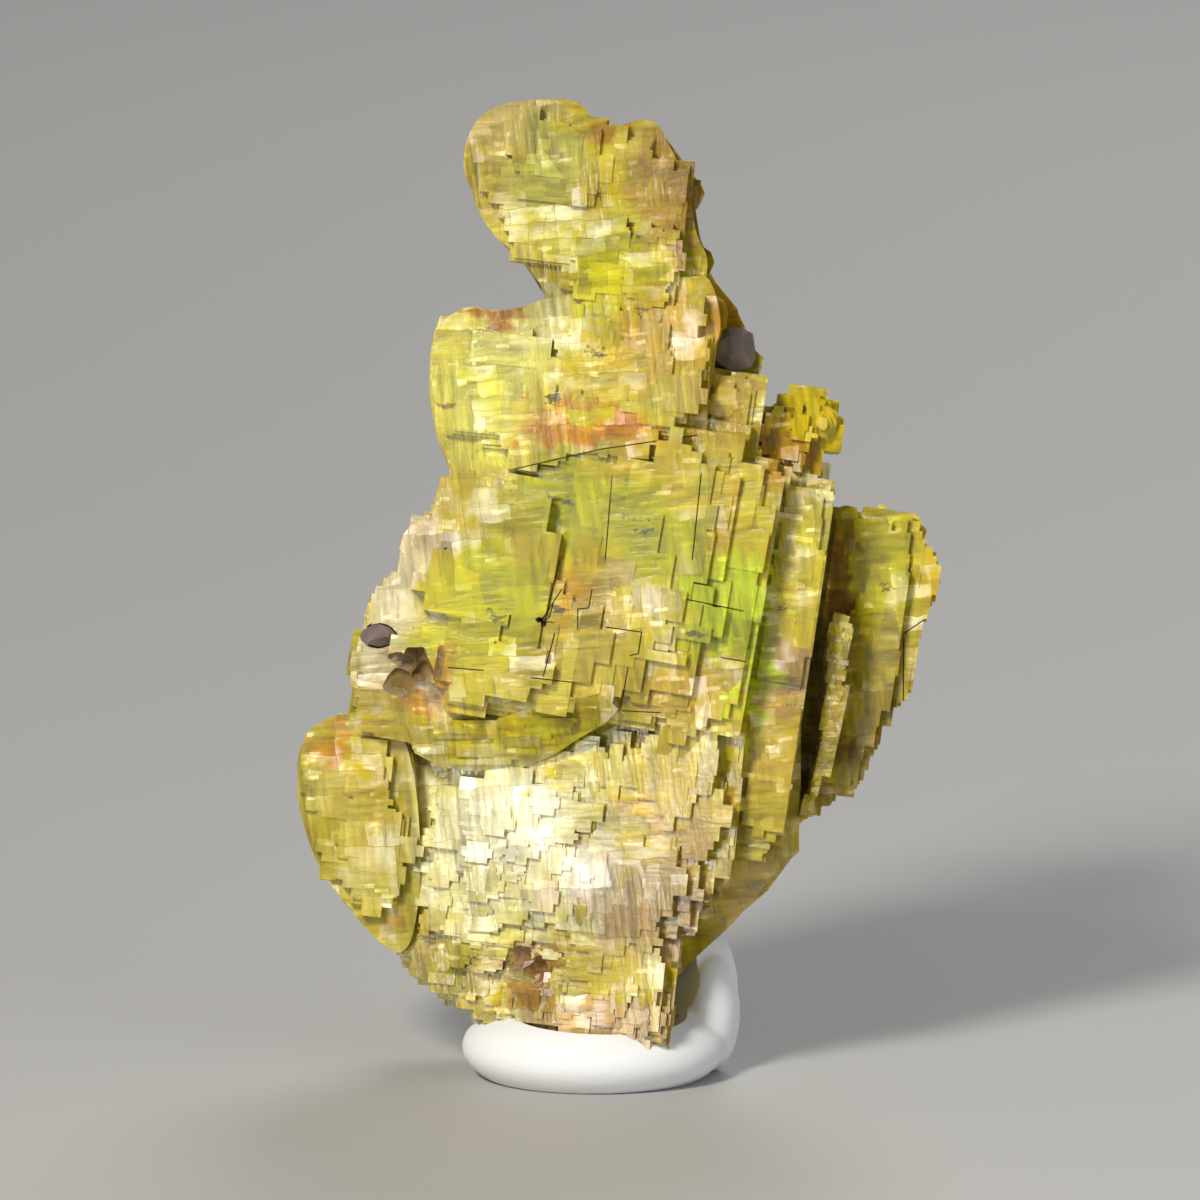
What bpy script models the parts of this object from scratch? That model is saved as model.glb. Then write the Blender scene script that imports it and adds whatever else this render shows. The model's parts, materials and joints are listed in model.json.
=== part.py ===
"""A uranocircite specimen: books of thin square-edged crystal plates grown together, with
grains of smoky quartz caught between them, standing in the pinch of white putty that holds it up.

Sizes are in millimetres and MM turns them into metres. The specimen faces -Y. An outline is
drawn as it is seen from the front and VIEW_TILT above it: across to the right, up from the foot.
"""

import math
import random

import bmesh
import bpy
from mathutils import Matrix, Vector

MM = 0.001

# The view that the outlines are drawn in.
VIEW_TILT = math.radians(10)
ACROSS = Vector((1, 0, 0))
PICTURE_UP = Vector((0, math.sin(VIEW_TILT), math.cos(VIEW_TILT)))
SIGHT = Vector((0, math.cos(VIEW_TILT), -math.sin(VIEW_TILT)))

# The crystals' straight edges lean this far clockwise from upright.
EDGE_LEAN = math.radians(-6)

# How much that lean differs from plate to plate, at most.
LEAN_SPREAD = math.radians(1.5)

# The cleavage steps along a plate's rim: wide and high, as the crystal breaks.
STEP_USUAL = (0.45, 0.55)
STEP_SMALL = (0.42, 0.42)

# How far a plate reaches into the one behind it.
PLATE_BITE = 0.07

# The lowest that the crystals reach into the putty.
SEAT_FLOOR = 0.55

# How far the corners of a rounded rim differ from plate to plate.
RIM_SPREAD = 0.07

# The space left round a grain, and between the crystals and the putty.
CLEARANCE = 0.08

# A grain's hull has this many corners, at this share of its half sizes or more.
GRAIN_CORNERS = 22
GRAIN_LEAST_REACH = 0.86

# A knot on the rim: the sizes of its plates against the knot's own, how far apart they start
# against its half depth, the range of its turn and its lean back in degrees.
KNOT_SHARES = (0.72, 1.0, 0.78)
KNOT_SPACING = 0.66
KNOT_TURN = (-15, 25)
KNOT_LEAN = 5

# What brings the middle of the specimen's box over the origin.
TO_ORIGIN = Vector((-0.492, -0.389, 0))

GROUP_NAME = "crystal_group"
PUTTY_NAME = "putty_blob"

# Each book of plates: its outline, then the point (across, up) where its front face lies at
# depth "front", the turn to the left and the lean back of that face in degrees, its thickness
# and its number of plates.
BOOKS = {
    "head": {
        "outline": [
            (-1.5, 24.25), (-0.5, 24.15), (-0.1, 23.6), (0.15, 23.4), (1.0, 23.65), (1.4, 23.6),
            (1.65, 23.2), (2.05, 22.6), (2.3, 21.7), (2.45, 20.8), (2.7, 20.3), (2.5, 19.6),
            (2.7, 18.4), (1.0, 17.6), (-0.6, 17.8), (-1.25, 19.3), (-2.0, 20.3), (-2.75, 21.1),
            (-3.25, 22.1), (-3.4, 22.8), (-3.15, 23.6), (-2.5, 24.1),
        ],
        "at": (-0.4, 21.4), "front": -1.3, "turn": 10, "lean": 3, "thickness": 2.3, "plates": 5,
        "step": None,
    },
    "shoulder": {
        "outline": [
            (-4.2, 18.1), (-4.0, 18.7), (-3.25, 19.1), (-2.7, 18.95), (-2.2, 19.0), (-1.4, 19.25),
            (0.2, 19.6), (2.25, 19.9), (2.8, 19.7), (3.05, 18.6), (2.8, 18.0), (2.75, 16.8),
            (2.6, 15.4), (0.0, 14.6), (-2.5, 14.4), (-3.6, 14.7), (-3.75, 15.2), (-4.0, 15.9),
            (-4.2, 16.9),
        ],
        "at": (-0.6, 17.0), "front": -1.75, "turn": 11, "lean": 2, "thickness": 2.9, "plates": 5,
        "step": None,
    },
    "main": {
        "outline": [
            (-3.6, 14.9), (-1.5, 15.3), (0.5, 15.7), (2.5, 16.05), (3.65, 15.85), (3.75, 15.1),
            (4.5, 15.0), (4.38, 13.73), (3.43, 8.3), (2.0, 8.0), (0.7, 8.9),
            (-0.4, 9.1), (-2.0, 8.6), (-4.0, 8.4), (-4.8, 8.3), (-5.6, 8.4), (-6.0, 9.1),
            (-6.1, 10.1), (-5.9, 10.9), (-5.55, 11.8), (-5.0, 12.3), (-4.85, 13.2),
            (-4.2, 13.9), (-4.0, 14.5),
        ],
        "at": (0.0, 12.0), "front": -2.2, "turn": 13, "lean": 0, "thickness": 3.2, "plates": 5,
    },
    "ledge": {
        "outline": [
            (-4.85, 8.7), (-3.75, 8.85), (-2.6, 8.85), (-1.9, 9.15), (-1.0, 9.35), (0.05, 9.55),
            (0.45, 9.1), (0.1, 8.7), (-0.7, 8.35), (-1.15, 8.0), (-2.0, 7.65), (-3.25, 7.55),
            (-4.05, 7.7), (-4.6, 8.05),
        ],
        "at": (-1.8, 9.1), "front": -2.5, "turn": 9, "lean": -34, "thickness": 1.5,
        "plates": 2, "step": None,
    },
    "second_plate": {
        "outline": [
            (2.4, 17.5), (3.8, 17.35), (3.95, 16.6), (3.95, 15.2), (4.55, 15.05), (4.55, 14.55),
            (5.75, 14.48), (5.66, 13.43), (4.68, 6.7), (4.6, 6.1), (4.0, 5.4),
            (1.5, 5.2), (0.0, 8.0), (0.0, 16.0),
        ],
        "at": (4.0, 11.0), "front": -2.15, "turn": 12, "lean": 0, "thickness": 2.4, "plates": 4,
    },
    "blade": {
        "outline": [
            (5.9, 11.5), (6.2, 11.25), (6.3, 10.8), (6.15, 9.4), (5.9, 8.1), (5.4, 7.1),
            (5.0, 6.45), (4.7, 6.3), (4.95, 7.6), (5.2, 8.3), (5.45, 9.3), (5.7, 10.4),
        ],
        "at": (5.5, 9.0), "front": -1.45, "turn": 18, "lean": 0, "thickness": 1.9, "plates": 2,
        "step": None,
    },
    "knob": {
        "outline": [
            (2.5, 15.2), (3.3, 16.4), (4.1, 16.6), (4.32, 16.65), (4.55, 16.87), (4.87, 16.95),
            (5.12, 17.1), (5.47, 16.95), (5.77, 16.72), (5.9, 16.3), (5.97, 15.95), (5.97, 15.45),
            (5.67, 15.5), (5.47, 15.3), (5.6, 14.5), (5.0, 13.2), (2.5, 13.2),
        ],
        "at": (4.8, 15.4), "front": -0.95, "turn": 4, "lean": 6, "thickness": 1.6, "plates": 3,
        "step": None,
    },
    "wing": {
        "outline": [
            (3.0, 14.0), (5.65, 14.1), (6.3, 13.95), (7.0, 14.2), (7.4, 14.0), (7.65, 14.05),
            (7.92, 13.8), (8.0, 13.35), (8.3, 12.97), (8.42, 12.72), (8.42, 12.2), (8.07, 11.3),
            (7.97, 10.9), (7.77, 10.05), (7.62, 9.37), (7.25, 9.05), (7.22, 8.75), (6.92, 8.45),
            (6.77, 7.92), (6.4, 7.15), (6.17, 6.92), (5.85, 6.87), (5.0, 6.3), (3.0, 6.5),
        ],
        "at": (6.8, 10.8), "front": -0.3, "turn": 14, "lean": -2, "thickness": 1.3, "plates": 3,
        "step": None,
    },
    "lower": {
        "outline": [
            (3.6, 9.3), (3.5, 7.0), (3.3, 5.3), (2.6, 4.3), (2.25, 3.6), (1.85, 2.8),
            (1.8, 1.8), (1.85, 1.1), (1.7, 0.55), (1.2, 0.35), (0.0, 0.4), (-1.25, 0.65),
            (-2.5, 1.0), (-3.3, 1.6), (-4.0, 2.1), (-4.75, 2.5), (-5.0, 3.2), (-5.0, 5.6),
            (-5.2, 7.6), (-4.0, 9.3),
        ],
        "at": (-0.5, 4.5), "front": -1.5, "turn": 19, "lean": 5, "thickness": 3.6, "plates": 6,
        "step": (0.4, 0.45),
    },
    "left_lobe": {
        "outline": [
            (-5.0, 3.0), (-5.7, 3.45), (-6.4, 4.3), (-7.1, 5.3), (-7.4, 6.1), (-7.55, 7.0),
            (-7.55, 7.9), (-7.25, 8.6), (-6.6, 8.95), (-5.9, 9.0), (-4.6, 8.6), (-4.4, 5.6),
            (-4.6, 3.4),
        ],
        "at": (-6.0, 6.2), "front": -0.05, "turn": 22, "lean": -3, "thickness": 1.9, "plates": 4,
        "step": None,
    },
    "back_flake": {
        "outline": [
            (1.6, 20.6), (2.5, 20.4), (2.85, 19.75), (3.4, 19.1), (3.6, 18.6), (3.75, 18.2),
            (4.1, 17.8), (3.9, 17.35), (3.5, 17.3), (2.9, 16.4), (1.4, 16.2),
        ],
        "at": (3.0, 18.4), "front": -0.1, "turn": 16, "lean": 10, "thickness": 0.55, "plates": 1,
        "step": None,
    },
    "back": {
        "outline": [
            (4.6, 12.5), (5.0, 9.5), (5.0, 7.2), (4.9, 5.6), (4.1, 4.6), (3.25, 3.75),
            (2.5, 2.95), (1.7, 2.2), (0.6, 1.3), (-1.6, 1.5), (-3.4, 3.0), (-4.4, 6.0),
            (-4.7, 9.5), (-4.0, 12.6), (-3.2, 15.6), (-1.2, 17.6), (1.2, 18.6), (2.4, 17.0),
            (3.6, 15.4),
        ],
        "at": (0.3, 9.5), "front": 0.15, "turn": 13, "lean": 0, "thickness": 2.3, "plates": 4,
    },
}

# Steps on the front of a book: centre (across, up), width, height and how far it stands out.
FRONT_STEPS = {
    "head": [
        (-1.1, 21.9, 2.5, 3.4, 0.30), (-1.0, 22.6, 1.9, 1.9, 0.46), (0.75, 20.9, 2.6, 3.6, 0.20),
        (1.0, 22.1, 1.9, 1.8, 0.40), (0.45, 19.8, 2.2, 2.0, 0.52), (1.2, 20.1, 1.3, 1.7, 0.66),
    ],
    "shoulder": [
        (-0.9, 17.0, 5.2, 3.0, 0.22), (-2.8, 17.1, 2.0, 2.3, 0.42), (0.4, 17.6, 2.6, 2.5, 0.50),
        (1.7, 17.9, 1.7, 2.2, 0.34), (-0.4, 16.2, 2.8, 1.4, 0.62), (1.3, 16.6, 1.6, 0.9, 0.72),
    ],
    "main": [
        (0.1, 12.1, 4.8, 6.2, 0.26), (-0.7, 12.4, 4.6, 4.5, 0.44), (-1.9, 11.3, 4.4, 3.5, 0.62),
        (-2.3, 10.6, 3.1, 2.7, 0.80), (-2.8, 12.1, 2.3, 2.5, 0.95), (-2.9, 10.0, 2.0, 1.6, 1.08),
        (1.2, 13.6, 2.2, 2.5, 0.52), (1.1, 11.2, 1.4, 1.6, 0.66), (3.0, 13.2, 1.2, 2.6, 0.14),
        (2.9, 10.6, 1.3, 2.2, 0.18),
    ],
    "second_plate": [
        (3.2, 16.4, 0.9, 1.2, 0.16), (4.9, 12.6, 0.8, 2.6, 0.12), (4.3, 7.2, 0.8, 1.8, 0.14),
    ],
    "knob": [(4.6, 15.9, 0.9, 1.2, 0.25), (5.2, 16.3, 0.6, 0.8, 0.40)],
    "wing": [(6.8, 11.9, 1.6, 2.8, 0.18), (6.6, 10.2, 1.1, 3.6, 0.30), (6.2, 8.6, 1.0, 2.2, 0.16)],
    "lower": [
        (-0.3, 5.8, 5.0, 4.8, 0.24), (-1.2, 5.5, 3.6, 4.4, 0.42), (1.0, 6.6, 3.0, 2.6, 0.40),
        (-2.0, 5.4, 2.2, 3.3, 0.60), (0.4, 4.2, 2.0, 1.9, 0.56), (-0.7, 2.2, 3.2, 1.7, 0.30),
        (0.7, 2.1, 1.5, 1.9, 0.46), (-3.4, 5.2, 1.8, 3.4, 0.34), (2.0, 7.4, 1.6, 1.5, 0.56),
        (1.7, 5.4, 1.2, 1.5, 0.30), (-2.9, 3.3, 1.6, 1.4, 0.26), (1.0, 1.1, 1.2, 0.9, 0.34),
    ],
    "left_lobe": [(-6.3, 6.4, 1.5, 3.2, 0.16), (-5.6, 5.8, 1.2, 3.0, 0.30)],
    "back": [(4.0, 6.6, 1.0, 1.6, 0.16)],
}

# Steps on the back of a book, drawn as if seen through it.
BACK_STEPS = {
    "head": [(-1.2, 22.2, 2.6, 2.4, 0.22), (0.6, 21.2, 2.2, 3.0, 0.36)],
    "shoulder": [(-2.4, 16.9, 2.2, 2.6, 0.24)],
    "wing": [(6.6, 11.2, 1.9, 3.2, 0.20), (6.9, 10.4, 1.1, 1.8, 0.34)],
    "left_lobe": [(-5.9, 6.6, 1.7, 2.4, 0.22)],
    "back": [
        (0.4, 9.8, 6.0, 7.6, 0.28), (-0.6, 11.2, 4.4, 5.8, 0.50), (1.3, 8.0, 3.4, 4.4, 0.66),
        (-1.3, 12.4, 2.4, 3.2, 0.84), (0.2, 13.9, 2.6, 2.4, 0.96), (1.8, 7.0, 2.0, 2.2, 1.00),
        (-1.6, 6.2, 2.8, 3.0, 0.40), (0.4, 4.4, 2.8, 2.4, 0.34), (2.9, 11.4, 1.6, 3.2, 0.44),
        (-2.6, 9.6, 1.8, 2.8, 0.70), (0.6, 16.2, 2.0, 1.8, 0.40),
    ],
}

# Knots of intergrown plates on the rims: centre (across, back, up), and half sizes.
RIM_LUMPS = [
    ((-4.95, -0.2, 12.0), (0.55, 0.7, 0.6)),
    ((-5.1, 0.0, 11.3), (0.75, 0.9, 0.55)),
    ((-5.75, 0.2, 9.9), (0.5, 0.8, 0.7)),
    ((-5.3, -0.1, 8.7), (0.55, 0.7, 0.5)),
    ((-4.5, -0.6, 13.3), (0.5, 0.6, 0.5)),
    ((-3.6, -0.6, 18.3), (0.6, 0.8, 0.65)),
    ((7.6, -0.3, 13.5), (0.55, 0.5, 0.5)),
    ((8.0, -0.2, 12.3), (0.45, 0.5, 0.6)),
    ((2.4, -0.7, 20.2), (0.45, 0.5, 0.45)),
    ((2.2, -0.4, 21.9), (0.4, 0.6, 0.5)),
    ((2.8, -1.0, 18.9), (0.4, 0.5, 0.5)),
    ((5.5, -0.9, 16.2), (0.45, 0.5, 0.5)),
    ((6.1, -0.3, 13.95), (0.4, 0.4, 0.25)),
]

# Smoky quartz grains: centre (across, back, up), and half sizes.
GRAINS = {
    "quartz_grain_right": ((3.3, -0.7, 18.05), (0.64, 0.6, 0.64)),
    "quartz_grain_left": ((-5.5, -0.75, 10.95), (0.56, 0.5, 0.32)),
}

# Brown pits where a crystal has gone: centre (across, back, up) and half sizes.
PITS = [
    ((-4.7, -0.95, 9.85), (0.68, 0.95, 0.74)),
    ((-1.8, -1.45, 2.5), (0.66, 0.8, 0.86)),
]

# The putty: a squashed pad on the floor and thumbed-up folds behind it, as lumps in the
# specimen's own frame: centre (right, back, up) and half sizes. It is pressed flat at the floor.
PUTTY_LUMPS = [
    ((-0.15, -0.25, 0.75), (3.3, 3.05, 1.35)),
    ((1.85, 1.1, 1.95), (1.65, 1.5, 2.2)),
    ((-1.4, 1.3, 1.3), (1.9, 1.6, 1.5)),
]
PUTTY_SEGMENTS = 28
PUTTY_RINGS = 14

# The putty's seat fits the crystals up to this height, with this growth of their hull.
PUTTY_SEAT_TOP = 4.5
PUTTY_SEAT_GROWTH = 1.04

# The block that flattens the putty at the floor.
FLOOR_BLOCK = 20


def picture_point(across, up, depth):
    """The point that is seen at a place in the picture, at a depth along the sight."""
    return ACROSS * across + PICTURE_UP * up + SIGHT * depth


def seen_at(across, back, up):
    """The point that is seen at a place in the picture and lies that far back."""
    depth = (back - up * math.sin(VIEW_TILT)) / math.cos(VIEW_TILT)
    return picture_point(across, up, depth)


def inside(outline, across, up):
    """Whether a place is within an outline."""
    crossings = 0
    for i in range(len(outline)):
        (a0, u0), (a1, u1) = outline[i - 1], outline[i]
        if (u0 > up) != (u1 > up) and across < a0 + (up - u0) * (a1 - a0) / (u1 - u0):
            crossings += 1
    return crossings % 2 == 1


def keep_largest_patch(mesh):
    """Deletes all faces but those of the largest patch that hangs together by its edges."""
    left = set(mesh.faces)
    patches = []
    while left:
        patch = {left.pop()}
        front = list(patch)
        while front:
            face = front.pop()
            for edge in face.edges:
                for other in edge.link_faces:
                    if other in left:
                        left.discard(other)
                        patch.add(other)
                        front.append(other)
        patches.append(patch)
    largest = max(patches, key=len)
    bmesh.ops.delete(mesh, geom=[f for f in mesh.faces if f not in largest], context="FACES")


def open_corner_contacts(mesh):
    """Deletes cells that meet another only at a corner, where a solid would pinch to a line."""
    while True:
        pinched = [
            v.link_faces[0]
            for v in mesh.verts
            if len(v.link_faces) == 2 and not set(v.link_faces[0].edges) & set(v.link_faces[1].edges)
        ]
        if not pinched:
            return
        bmesh.ops.delete(mesh, geom=pinched[:1], context="FACES")


def stepped_face(mesh, outline, step, dice):
    """Fills an outline with the cells of the crystal's lattice, so that its rim breaks in steps."""
    wide, high = step
    middle_a = (min(a for a, u in outline) + max(a for a, u in outline)) / 2
    middle_u = (min(u for a, u in outline) + max(u for a, u in outline)) / 2
    reach = max(math.hypot(a - middle_a, u - middle_u) for a, u in outline)
    columns = math.ceil(reach / wide) + 1
    rows = math.ceil(reach / high) + 1
    lean = EDGE_LEAN + dice.uniform(-LEAN_SPREAD, LEAN_SPREAD)
    place = (
        Matrix.Translation((middle_a, middle_u, 0))
        @ Matrix.Rotation(lean, 4, "Z")
        @ Matrix.Translation((dice.uniform(0, wide), dice.uniform(0, high), 0))
        @ Matrix.Diagonal((columns * wide, rows * high, 1, 1))
    )
    bmesh.ops.create_grid(
        mesh, x_segments=2 * columns, y_segments=2 * rows, size=1, matrix=place
    )
    outer = []
    for face in mesh.faces:
        centre = face.calc_center_median()
        if not inside(outline, centre.x, centre.y):
            outer.append(face)
    bmesh.ops.delete(mesh, geom=outer, context="FACES")
    open_corner_contacts(mesh)
    keep_largest_patch(mesh)
    bmesh.ops.dissolve_limit(
        mesh, angle_limit=math.radians(1), verts=mesh.verts[:], edges=mesh.edges[:]
    )


def plain_face(mesh, outline, spread, dice):
    """Fills an outline nearly as it is, for a rim that is rounded or split along its length."""
    bmesh.ops.create_circle(mesh, cap_ends=True, segments=len(outline), radius=1)
    mesh.verts.ensure_lookup_table()
    for vertex, (across, up) in zip(mesh.verts, outline):
        vertex.co = (
            across + dice.uniform(-spread, spread),
            up + dice.uniform(-spread, spread),
            0,
        )


class Book:
    """A stack of plates in one direction."""

    def __init__(self, at, front, turn, lean):
        self.across = at[0]
        self.height = (at[1] - front * math.sin(VIEW_TILT)) / math.cos(VIEW_TILT)
        self.front = front
        self.slope_across = math.tan(math.radians(turn))
        self.slope_up = math.tan(math.radians(lean))
        inward = Vector((self.slope_across, 1, -self.slope_up))
        self.stretch = inward.length
        self.inward = inward.normalized()

    def point(self, across, up, offset):
        """Where the sight through a place in the picture meets the plane that lies an offset
        behind the book's front."""
        back = self.front + offset * self.stretch - (across - self.across) * self.slope_across
        back += (up * math.cos(VIEW_TILT) - self.height) * self.slope_up
        back -= up * math.sin(VIEW_TILT)
        depth = back / (math.cos(VIEW_TILT) + math.sin(VIEW_TILT) * self.slope_up)
        return picture_point(across, up, depth)

    def lowest(self, across, offset):
        """How low in the picture the plane may come at a place before it is under the seat."""
        back = self.front + offset * self.stretch - (across - self.across) * self.slope_across
        return SEAT_FLOOR * math.cos(VIEW_TILT) + back * math.sin(VIEW_TILT)

    def above_seat(self, outline, offset):
        """An outline with what would be under the seat cut off."""
        return [(a, max(u, self.lowest(a, offset))) for a, u in outline]

    def plate(self, name, outline, offset, thickness, dice, step=None, spread=0.0):
        """One plate, its front seen as the outline."""
        mesh = bmesh.new()
        outline = self.above_seat(outline, offset + thickness)
        if step:
            stepped_face(mesh, outline, step, dice)
        else:
            plain_face(mesh, outline, spread, dice)
        for vertex in mesh.verts:
            vertex.co = self.point(vertex.co.x, vertex.co.y, offset)
        made = bmesh.ops.extrude_face_region(mesh, geom=mesh.faces[:], use_keep_orig=True)
        moved = [v for v in made["geom"] if isinstance(v, bmesh.types.BMVert)]
        bmesh.ops.translate(mesh, verts=moved, vec=self.inward * thickness)
        bmesh.ops.recalc_face_normals(mesh, faces=mesh.faces[:])
        return solid_of(name, mesh)


def solid_of(name, mesh):
    """An object in the specimen's collection, still in millimetres, in which Booleans are sure."""
    data = bpy.data.meshes.new(name)
    mesh.to_mesh(data)
    mesh.free()
    made = bpy.data.objects.new(name, data)
    pieces.objects.link(made)
    return made


def apply_boolean(body, other, operation):
    """Joins another object to a body, or cuts the body with it, and removes the other one."""
    step = body.modifiers.new(operation.lower(), "BOOLEAN")
    step.operation = operation
    step.object = other
    step.solver = "EXACT"
    depsgraph = bpy.context.evaluated_depsgraph_get()
    result = bpy.data.meshes.new_from_object(body.evaluated_get(depsgraph))
    body.modifiers.clear()
    old = body.data
    body.data = result
    bpy.data.meshes.remove(old)
    bpy.data.objects.remove(other)


def fill_voids(body):
    """Deletes the shells that Booleans leave shut inside a body, so that it is solid there."""
    mesh = bmesh.new()
    mesh.from_mesh(body.data)
    keep_largest_patch(mesh)
    loose = [v for v in mesh.verts if not v.link_faces]
    bmesh.ops.delete(mesh, geom=loose, context="VERTS")
    mesh.to_mesh(body.data)
    mesh.free()


def broken_rectangle(across, up, width, height, dice):
    """A rectangle along the crystal's lattice with broken corners."""
    corners = []
    for right, top in ((1, 1), (-1, 1), (-1, -1), (1, -1)):
        cut_a = dice.uniform(0.05, 0.4) * width
        cut_u = dice.uniform(0.05, 0.4) * height
        beside = (right * width / 2, top * (height / 2 - cut_u))
        above = (right * (width / 2 - cut_a), top * height / 2)
        corners += [beside, above] if right == top else [above, beside]
    turn = Matrix.Rotation(EDGE_LEAN, 2)
    placed = [turn @ Vector(c) for c in corners]
    return [(across + p.x, up + p.y) for p in placed]


def hull_round(mesh, places):
    """Fills a mesh with the convex hull of some places."""
    points = [bmesh.ops.create_vert(mesh, co=p)["vert"][0] for p in places]
    hull = bmesh.ops.convex_hull(mesh, input=points)
    spare = {g for g in hull["geom_interior"] + hull["geom_unused"] if g.is_valid}
    spare = [g for g in spare if isinstance(g, bmesh.types.BMVert)]
    bmesh.ops.delete(mesh, geom=spare, context="VERTS")
    bmesh.ops.recalc_face_normals(mesh, faces=mesh.faces[:])


def chunk(mesh, centre, half, dice, growth=0.0):
    """A broken grain: flat facets round an uneven lump."""
    places = []
    for _ in range(GRAIN_CORNERS):
        way = Vector((dice.gauss(0, 1), dice.gauss(0, 1), dice.gauss(0, 1))).normalized()
        share = dice.uniform(GRAIN_LEAST_REACH, 1.0)
        places.append(centre + share * Vector([w * (h + growth) for w, h in zip(way, half)]))
    hull_round(mesh, places)


def colour(hex_code):
    """Linear colour of an sRGB hex code."""
    parts = [int(hex_code[i:i + 2], 16) / 255 for i in (1, 3, 5)]
    linear = [p / 12.92 if p <= 0.04045 else ((p + 0.055) / 1.055) ** 2.4 for p in parts]
    return (*linear, 1.0)


def give_material(piece, name, hex_code, roughness, transmission=0.0):
    """Gives a piece a surface of its own."""
    material = bpy.data.materials.new(name)
    material.use_nodes = True
    shader = material.node_tree.nodes["Principled BSDF"]
    shader.inputs["Base Color"].default_value = colour(hex_code)
    shader.inputs["Roughness"].default_value = roughness
    shader.inputs["Metallic"].default_value = 0.0
    shader.inputs["Transmission Weight"].default_value = transmission
    piece.data.materials.clear()
    piece.data.materials.append(material)


def book_plates(key, facts):
    """The plates and steps of one book, as objects that overlap a little."""
    dice = random.Random(key)
    book = Book(facts["at"], facts["front"], facts["turn"], facts["lean"])
    plates = []
    each = facts["thickness"] / facts["plates"]
    for i in range(facts["plates"]):
        step = facts.get("step", STEP_USUAL)
        plates.append(
            book.plate(
                f"{key}_{i}", facts["outline"], i * each, each + PLATE_BITE, dice, step, RIM_SPREAD
            )
        )
    for across, up, width, height, rise in FRONT_STEPS.get(key, []):
        outline = broken_rectangle(across, up, width, height, dice)
        plates.append(book.plate(f"{key}_step", outline, -rise, rise + each, dice, STEP_SMALL))
    for across, up, width, height, rise in BACK_STEPS.get(key, []):
        outline = broken_rectangle(across, up, width, height, dice)
        start = facts["thickness"] - each
        plates.append(
            book.plate(f"{key}_back_step", outline, start, each + rise, dice, STEP_SMALL)
        )
    return plates


def rim_lump(number, centre, half):
    """A small knot of plates on the rim."""
    dice = random.Random(number)
    book = Book(
        (centre[0], centre[2]), centre[1] - half[1], dice.uniform(*KNOT_TURN), KNOT_LEAN
    )
    each = half[1] * KNOT_SPACING
    plates = []
    for i, share in enumerate(KNOT_SHARES):
        outline = broken_rectangle(
            centre[0], centre[2], 2 * half[0] * share, 2 * half[2] * share, dice
        )
        plates.append(
            book.plate(f"lump_{number}_{i}", outline, i * each, each + PLATE_BITE, dice)
        )
    return plates


def build_group():
    """All the crystals in one solid."""
    plates = []
    for key, facts in BOOKS.items():
        plates += book_plates(key, facts)
    for number, (centre, half) in enumerate(RIM_LUMPS):
        plates += rim_lump(number, centre, half)
    body = plates[0]
    for other in plates[1:]:
        apply_boolean(body, other, "UNION")
    fill_voids(body)
    body.name = GROUP_NAME
    body.data.name = GROUP_NAME
    return body


def cut_pits(body):
    """Hollows that lost crystals left."""
    for number, (centre, half) in enumerate(PITS):
        mesh = bmesh.new()
        chunk(mesh, seen_at(*centre), half, random.Random(number))
        apply_boolean(body, solid_of(f"pit_{number}", mesh), "DIFFERENCE")
    fill_voids(body)


def build_grains(body):
    """The quartz grains, each in a hollow of its own shape in the crystals."""
    grains = []
    for name, (centre, half) in GRAINS.items():
        mesh = bmesh.new()
        chunk(mesh, seen_at(*centre), half, random.Random(name), CLEARANCE)
        apply_boolean(body, solid_of(f"{name}_hollow", mesh), "DIFFERENCE")
        mesh = bmesh.new()
        chunk(mesh, seen_at(*centre), half, random.Random(name))
        grains.append(solid_of(name, mesh))
    return grains


def build_putty(body):
    """The putty: lumps grown together, flat below, with a seat for the crystals."""
    putty = None
    for number, (centre, half) in enumerate(PUTTY_LUMPS):
        mesh = bmesh.new()
        place = Matrix.Translation(centre) @ Matrix.Diagonal((*half, 1))
        bmesh.ops.create_uvsphere(
            mesh, u_segments=PUTTY_SEGMENTS, v_segments=PUTTY_RINGS, radius=1, matrix=place
        )
        lump = solid_of(f"lump_{number}", mesh)
        if putty is None:
            putty = lump
        else:
            apply_boolean(putty, lump, "UNION")
    mesh = bmesh.new()
    below = Matrix.Translation((0, 0, -FLOOR_BLOCK / 2))
    bmesh.ops.create_cube(mesh, size=FLOOR_BLOCK, matrix=below)
    apply_boolean(putty, solid_of("floor_cut", mesh), "DIFFERENCE")
    pressed = [v.co for v in body.data.vertices if v.co.z < PUTTY_SEAT_TOP]
    mesh = bmesh.new()
    hull_round(mesh, pressed)
    middle = sum((v.co for v in mesh.verts), Vector()) / len(mesh.verts)
    for vertex in mesh.verts:
        vertex.co = middle + (vertex.co - middle) * PUTTY_SEAT_GROWTH
    apply_boolean(putty, solid_of("seat_cut", mesh), "DIFFERENCE")
    putty.name = PUTTY_NAME
    putty.data.name = PUTTY_NAME
    return putty


for old in list(bpy.data.objects):
    bpy.data.objects.remove(old)
pieces = bpy.data.collections.new("uranocircite_specimen")
bpy.context.scene.collection.children.link(pieces)

group = build_group()
cut_pits(group)
grains = build_grains(group)
putty = build_putty(group)
for piece in (group, putty, *grains):
    piece.data.transform(Matrix.Scale(MM, 4) @ Matrix.Translation(TO_ORIGIN))
give_material(group, "Uranocircite, pearly cleavage plates", "#C9BE6B", 0.35)
give_material(putty, "Mounting putty, kneaded", "#E9E7E2", 0.6)
for grain in grains:
    give_material(grain, "Smoky quartz, broken", "#4A3F3B", 0.15)
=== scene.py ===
import json
import math
import random

import bmesh
import bpy
from mathutils import Matrix, Vector

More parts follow.
